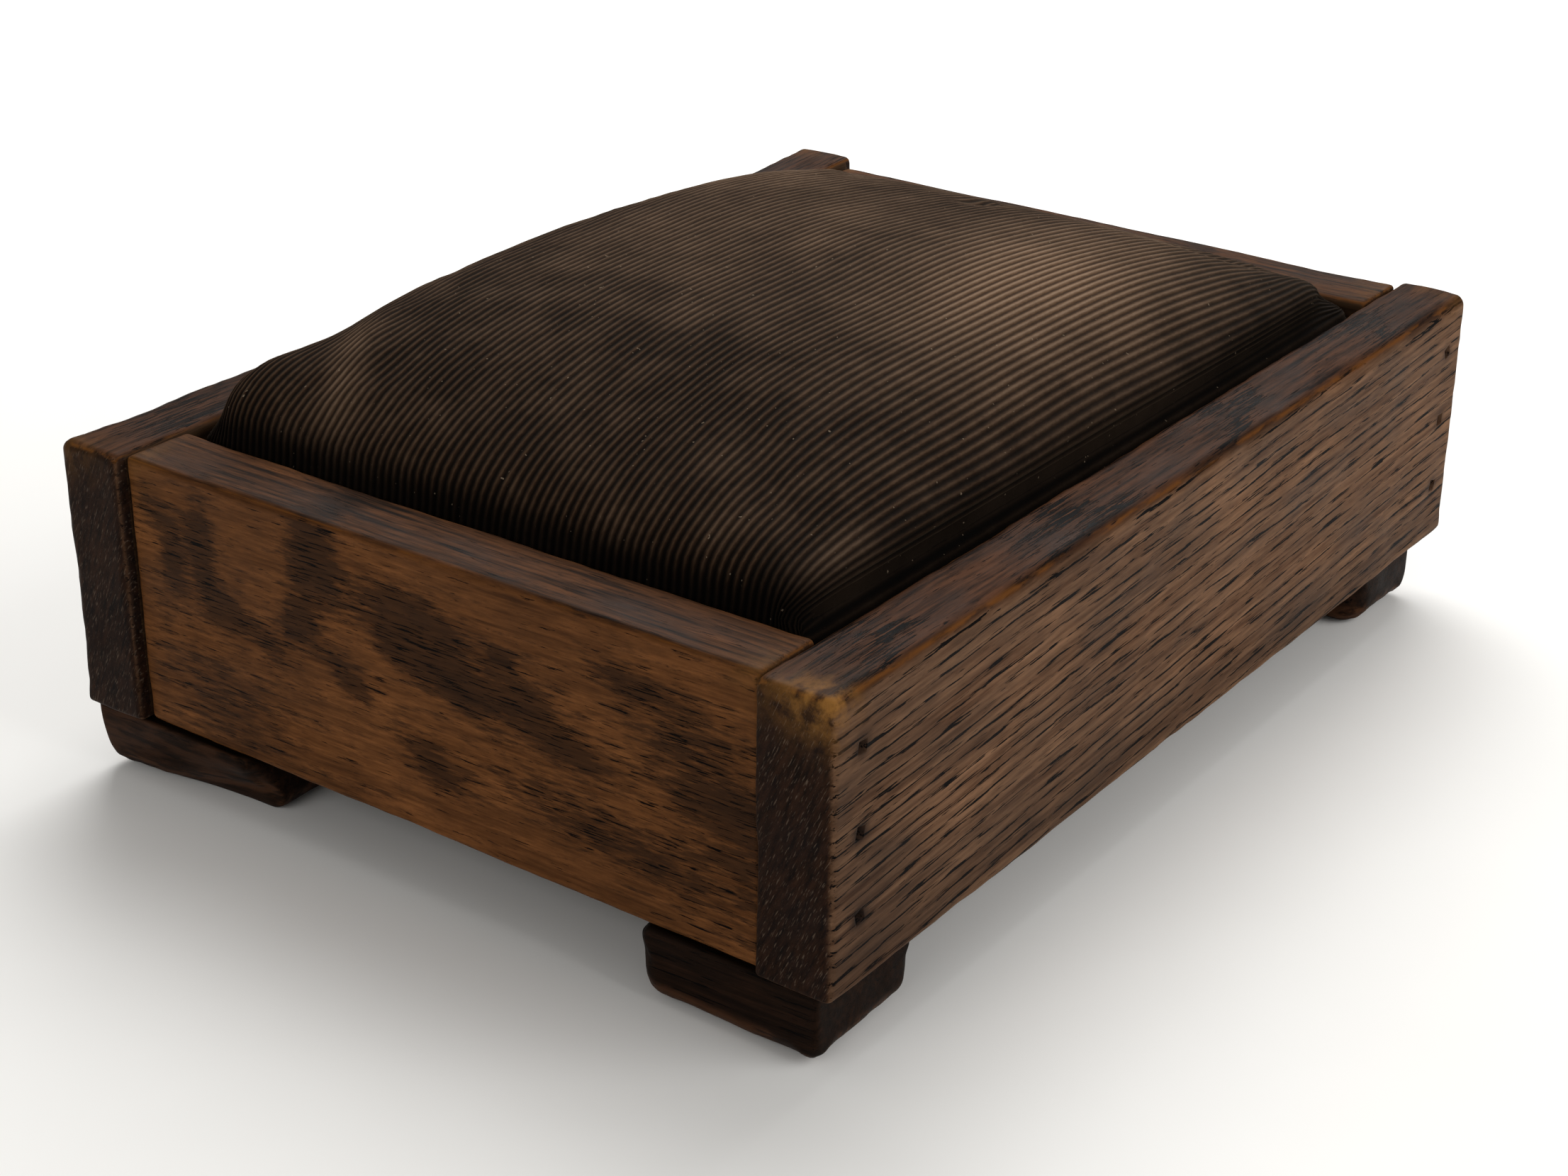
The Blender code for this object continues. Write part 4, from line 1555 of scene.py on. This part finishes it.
        # Ribs run on down the ends, and turn to lie level along the sides.
        end_wall = np.abs(rim_cloth[:, 0]) >= run / 2 - 1e-9
        from_corner = t[-1] - np.abs(rim_cloth[:, 1])
        along = np.where(end_wall, smooth(from_corner, 0, self.rib_turn), 0.0)
        sign = np.where(rim_cloth[:, 1] < 0, -1.0, 1.0)
        rings, ribbed = [border], [np.ones(len(points))]

        def stack(ring: Array, mapped: Array, rib: float) -> None:
            """Adds one ring of points, with its place on the cloth and its ribs."""
            nonlocal points, cloth
            rings.append(np.arange(len(points), len(points) + len(ring)))
            points, cloth = np.vstack([points, ring]), np.vstack([cloth, mapped])
            ribbed.append(np.full(len(ring), rib))

        depth, last = 0.0, np.array([0.0, self.start])
        for inward, level, rib in self._path():
            depth += float(np.hypot(*(np.array([inward, level]) - last)))
            last = np.array([inward, level])
            ring = rim.copy()
            ring[:, :2] *= (self.half - inward) / self.half
            ring[:, 2] = level
            mapped = rim_cloth.copy()
            mapped[:, 1] = along * rim_cloth[:, 1] + (1 - along) * (sign * (t[-1] + depth))
            mapped[:, 2] = depth
            stack(ring, mapped, rib)
        for part in np.linspace(0.97, 0.06, 7):
            ring = rim.copy()
            ring[:, :2] *= part
            x, y = (ring[:, :2] / self.half).T
            ring[:, 2] = self.start - 0.5 * MM + self._dome(x, y, self.crown - 2.6 * MM)
            stack(ring, rim_cloth, 0.0)
        faces += self._bands(rings)
        hub = len(points)
        points = np.vstack([points, [0, 0, self.high[2] - 3.1 * MM]])
        cloth, ribbed = np.vstack([cloth, [0, 0, 0]]), np.append(np.concatenate(ribbed), 0)
        return points, self._closed(faces, rings[-1], hub), {"cloth": cloth, "ribbed": ribbed}

    def _ribs(self) -> Tree:
        """Builds the tree that raises the cover's ribs along its normals.

        Returns:
            The node group, with named inputs for the ribs' pitch and height.
        """
        tree, given = new_tree("corduroy ribs", {"Pitch": "Float", "Height": "Float", "Seed": "Float"})
        cloth = add(tree, "GeometryNodeInputNamedAttribute", {"Name": "cloth"}, data_type="FLOAT_VECTOR")
        shown = add(tree, "GeometryNodeInputNamedAttribute", {"Name": "ribbed"}, data_type="FLOAT")
        across = add(tree, SPLIT, (cloth,), out=1)
        turns = calc(tree, "DIVIDE", across, given["Pitch"])
        turns = calc(tree, "MULTIPLY", turns, 2 * math.pi)
        wave = calc(tree, "COSINE", turns)
        rib = calc(tree, "MULTIPLY_ADD", wave, 0.5, 0.5)
        rib = calc(tree, "POWER", rib, 0.75)
        place = add(tree, VECTOR, (cloth, (90.0, 500.0, 40.0)), operation="MULTIPLY")
        noise = {"Vector": place, "W": given["Seed"], "Scale": 1.0, "Detail": 2.0}
        worn = add(tree, NOISE, noise, noise_dimensions="4D")
        worn = add(tree, RANGE, (worn, 0.3, 0.7, 0.7, 1.1))
        for factor in (worn, shown, given["Height"]):
            rib = calc(tree, "MULTIPLY", rib, factor)
        normal = add(tree, "GeometryNodeInputNormal")
        offset = add(tree, VECTOR, {0: normal, "Scale": rib}, operation="SCALE")
        raised = add(tree, "GeometryNodeSetPosition", {"Geometry": given["Geometry"], "Offset": offset})
        end_tree(tree, raised, given["Finish"])
        return tree

    def make(self) -> None:
        """Builds the stuffing and lays the ribbed cover over it."""
        wadding = Mottled("horsehair and cotton wadding", "4a3c2e", "8a7760", (3.0,) * 3, 0.9).make()
        piece, before, after = self._stuffing(wadding)
        smaller = self._shape(coordinates(piece))
        piece.data.vertices.foreach_set("co", smaller.astype(np.float32).ravel())
        piece.data.update()
        seat(piece, Body.PAD, "stuffing", "pad_stuffing")
        points, faces, marks = self._skin()
        points = points + self._carried(points, before, after)
        points = self._shape(points)
        marks["nap_and_sheen"] = self._nap_and_sheen(points)
        # Painted shade on the cover near the rim: it reaches higher at the front and is weaker below the
        # rim.
        reach = np.where(points[:, 1] < -0.8 * self.half[1], 16 * MM, 9 * MM)
        level = points[:, 2] - self.rim
        paler = 0.35 + 0.65 * smooth(level, -9 * MM, -2 * MM)
        marks["painted_rim_shade"] = (1 - smooth(level, 1 * MM, reach)) * paler
        corduroy = Corduroy(pitch=self.pitch).make()
        cover = new_piece("pad_corduroy", points, faces, corduroy, marks)
        values = {"Pitch": self.pitch, "Height": self.rib_height, "Seed": 3.0, "Finish": corduroy}
        apply_tree(cover, self._ribs(), values)
        seat(cover, Body.PAD, "corduroy", "pad_cover")

    def _carried(self, points: Array, before: Array, after: Array) -> Array:
        """Finds how far the stuffing carries the cover.

        Args:
            points: The cover's points.
            before: The stuffing's points before it swelled.
            after: The same points after.

        Returns:
            Each cover point's move, from the seven stuffing points nearest to it.
        """
        tree = kdtree.KDTree(len(before))
        for index, spot in enumerate(before):
            tree.insert(spot, index)
        tree.balance()
        move = after - before
        carried = np.zeros_like(points)
        free = smooth(points[:, 2], self.rim - 1 * MM, self.rim + 7 * MM)
        for index in np.flatnonzero(free > 0):
            found = tree.find_n(points[index], 7)
            weight = np.array([1 / (gap + 2 * MM) ** 2 for _, _, gap in found])
            carried[index] = (move[[k for _, k, _ in found]] * weight[:, None]).sum(0) / weight.sum()
        return carried * free[:, None]


# ---------------------------------------------------------------- studio


@dataclass
class Studio:
    """A pale floor, soft lights and the camera."""

    eye: tuple[float, float, float] = (-0.541, -0.3837, 0.3396)
    look: tuple[float, float, float] = (0.73132, 0.5308, -0.42827)
    roll: float = 0.438
    lens: float = 62.7
    sky: str = "f4f2ef"
    sky_strength: float = 0.35
    floor_half: float = 6.0
    lights: tuple[tuple, ...] = (  # name, place, aim, size and power
        ("key", (0.9, 0.5, 1.3), (0, 0, 0.06), 1.4, 27),
        ("fill", (0.2, -1.5, 0.9), (0, 0, 0.05), 1.2, 14),
        ("side", (-1.5, -0.1, 0.8), (0, 0, 0.05), 1.0, 5),
    )

    def _camera(self) -> None:
        """Sets the camera."""
        data = bpy.data.cameras.new("camera")
        data.lens = self.lens
        data.sensor_width = 36.0
        data.clip_start = 0.01
        camera = bpy.data.objects.new("camera", data)
        back = -Vector(self.look).normalized()
        right = Vector((0, 0, 1)).cross(back).normalized()
        up = back.cross(right)
        angle = math.radians(self.roll)
        cos, sin = math.cos(angle), math.sin(angle)
        right, up = right * cos + up * sin, up * cos - right * sin
        turn = Matrix((right, up, back)).transposed().to_4x4()
        camera.matrix_world = Matrix.Translation(self.eye) @ turn
        bpy.context.scene.collection.objects.link(camera)
        bpy.context.scene.camera = camera

    @staticmethod
    def _light(name: str, place: tuple, aim: tuple, size: float, power: float) -> None:
        """Adds one soft white light.

        Args:
            name: Its name.
            place: Where it hangs.
            aim: What it looks at.
            size: The width of its panel.
            power: Its power in watts.
        """
        data = bpy.data.lights.new(name, "AREA")
        data.size, data.energy = size, power
        light = bpy.data.objects.new(name, data)
        light.location = place
        light.rotation_euler = (Vector(aim) - Vector(place)).to_track_quat("-Z", "Y").to_euler()
        bpy.context.scene.collection.objects.link(light)

    def make(self) -> None:
        """Builds the floor, the lights and the camera."""
        floor_finish = Mottled("pale seamless paper", "f0efec", "f6f5f2", (400.0,) * 3, 0.9).make()
        corners = np.array([(-1, -1, 0), (1, -1, 0), (1, 1, 0), (-1, 1, 0)]) * self.floor_half
        floor = new_piece("floor", corners, [[0, 1, 2, 3]], floor_finish)
        world = bpy.data.worlds.new("soft room")
        world.use_nodes = True
        shade = next(n for n in world.node_tree.nodes if n.type == "BACKGROUND")
        shade.inputs["Color"].default_value = linear(self.sky)
        shade.inputs["Strength"].default_value = self.sky_strength
        bpy.context.scene.world = world
        bpy.context.scene.view_settings.view_transform = "Standard"
        for light in self.lights:
            self._light(*light)
        self._camera()


def main() -> None:
    """Builds every sub-assembly in order."""
    logging.basicConfig(level=logging.INFO, format="%(name)s: %(message)s")
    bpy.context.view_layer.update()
    Box().make()
    Feet().make()
    Pine().make()
    Ironwork().make()
    Pad().make()
    Studio().make()


if __name__ == "__main__":
    main()
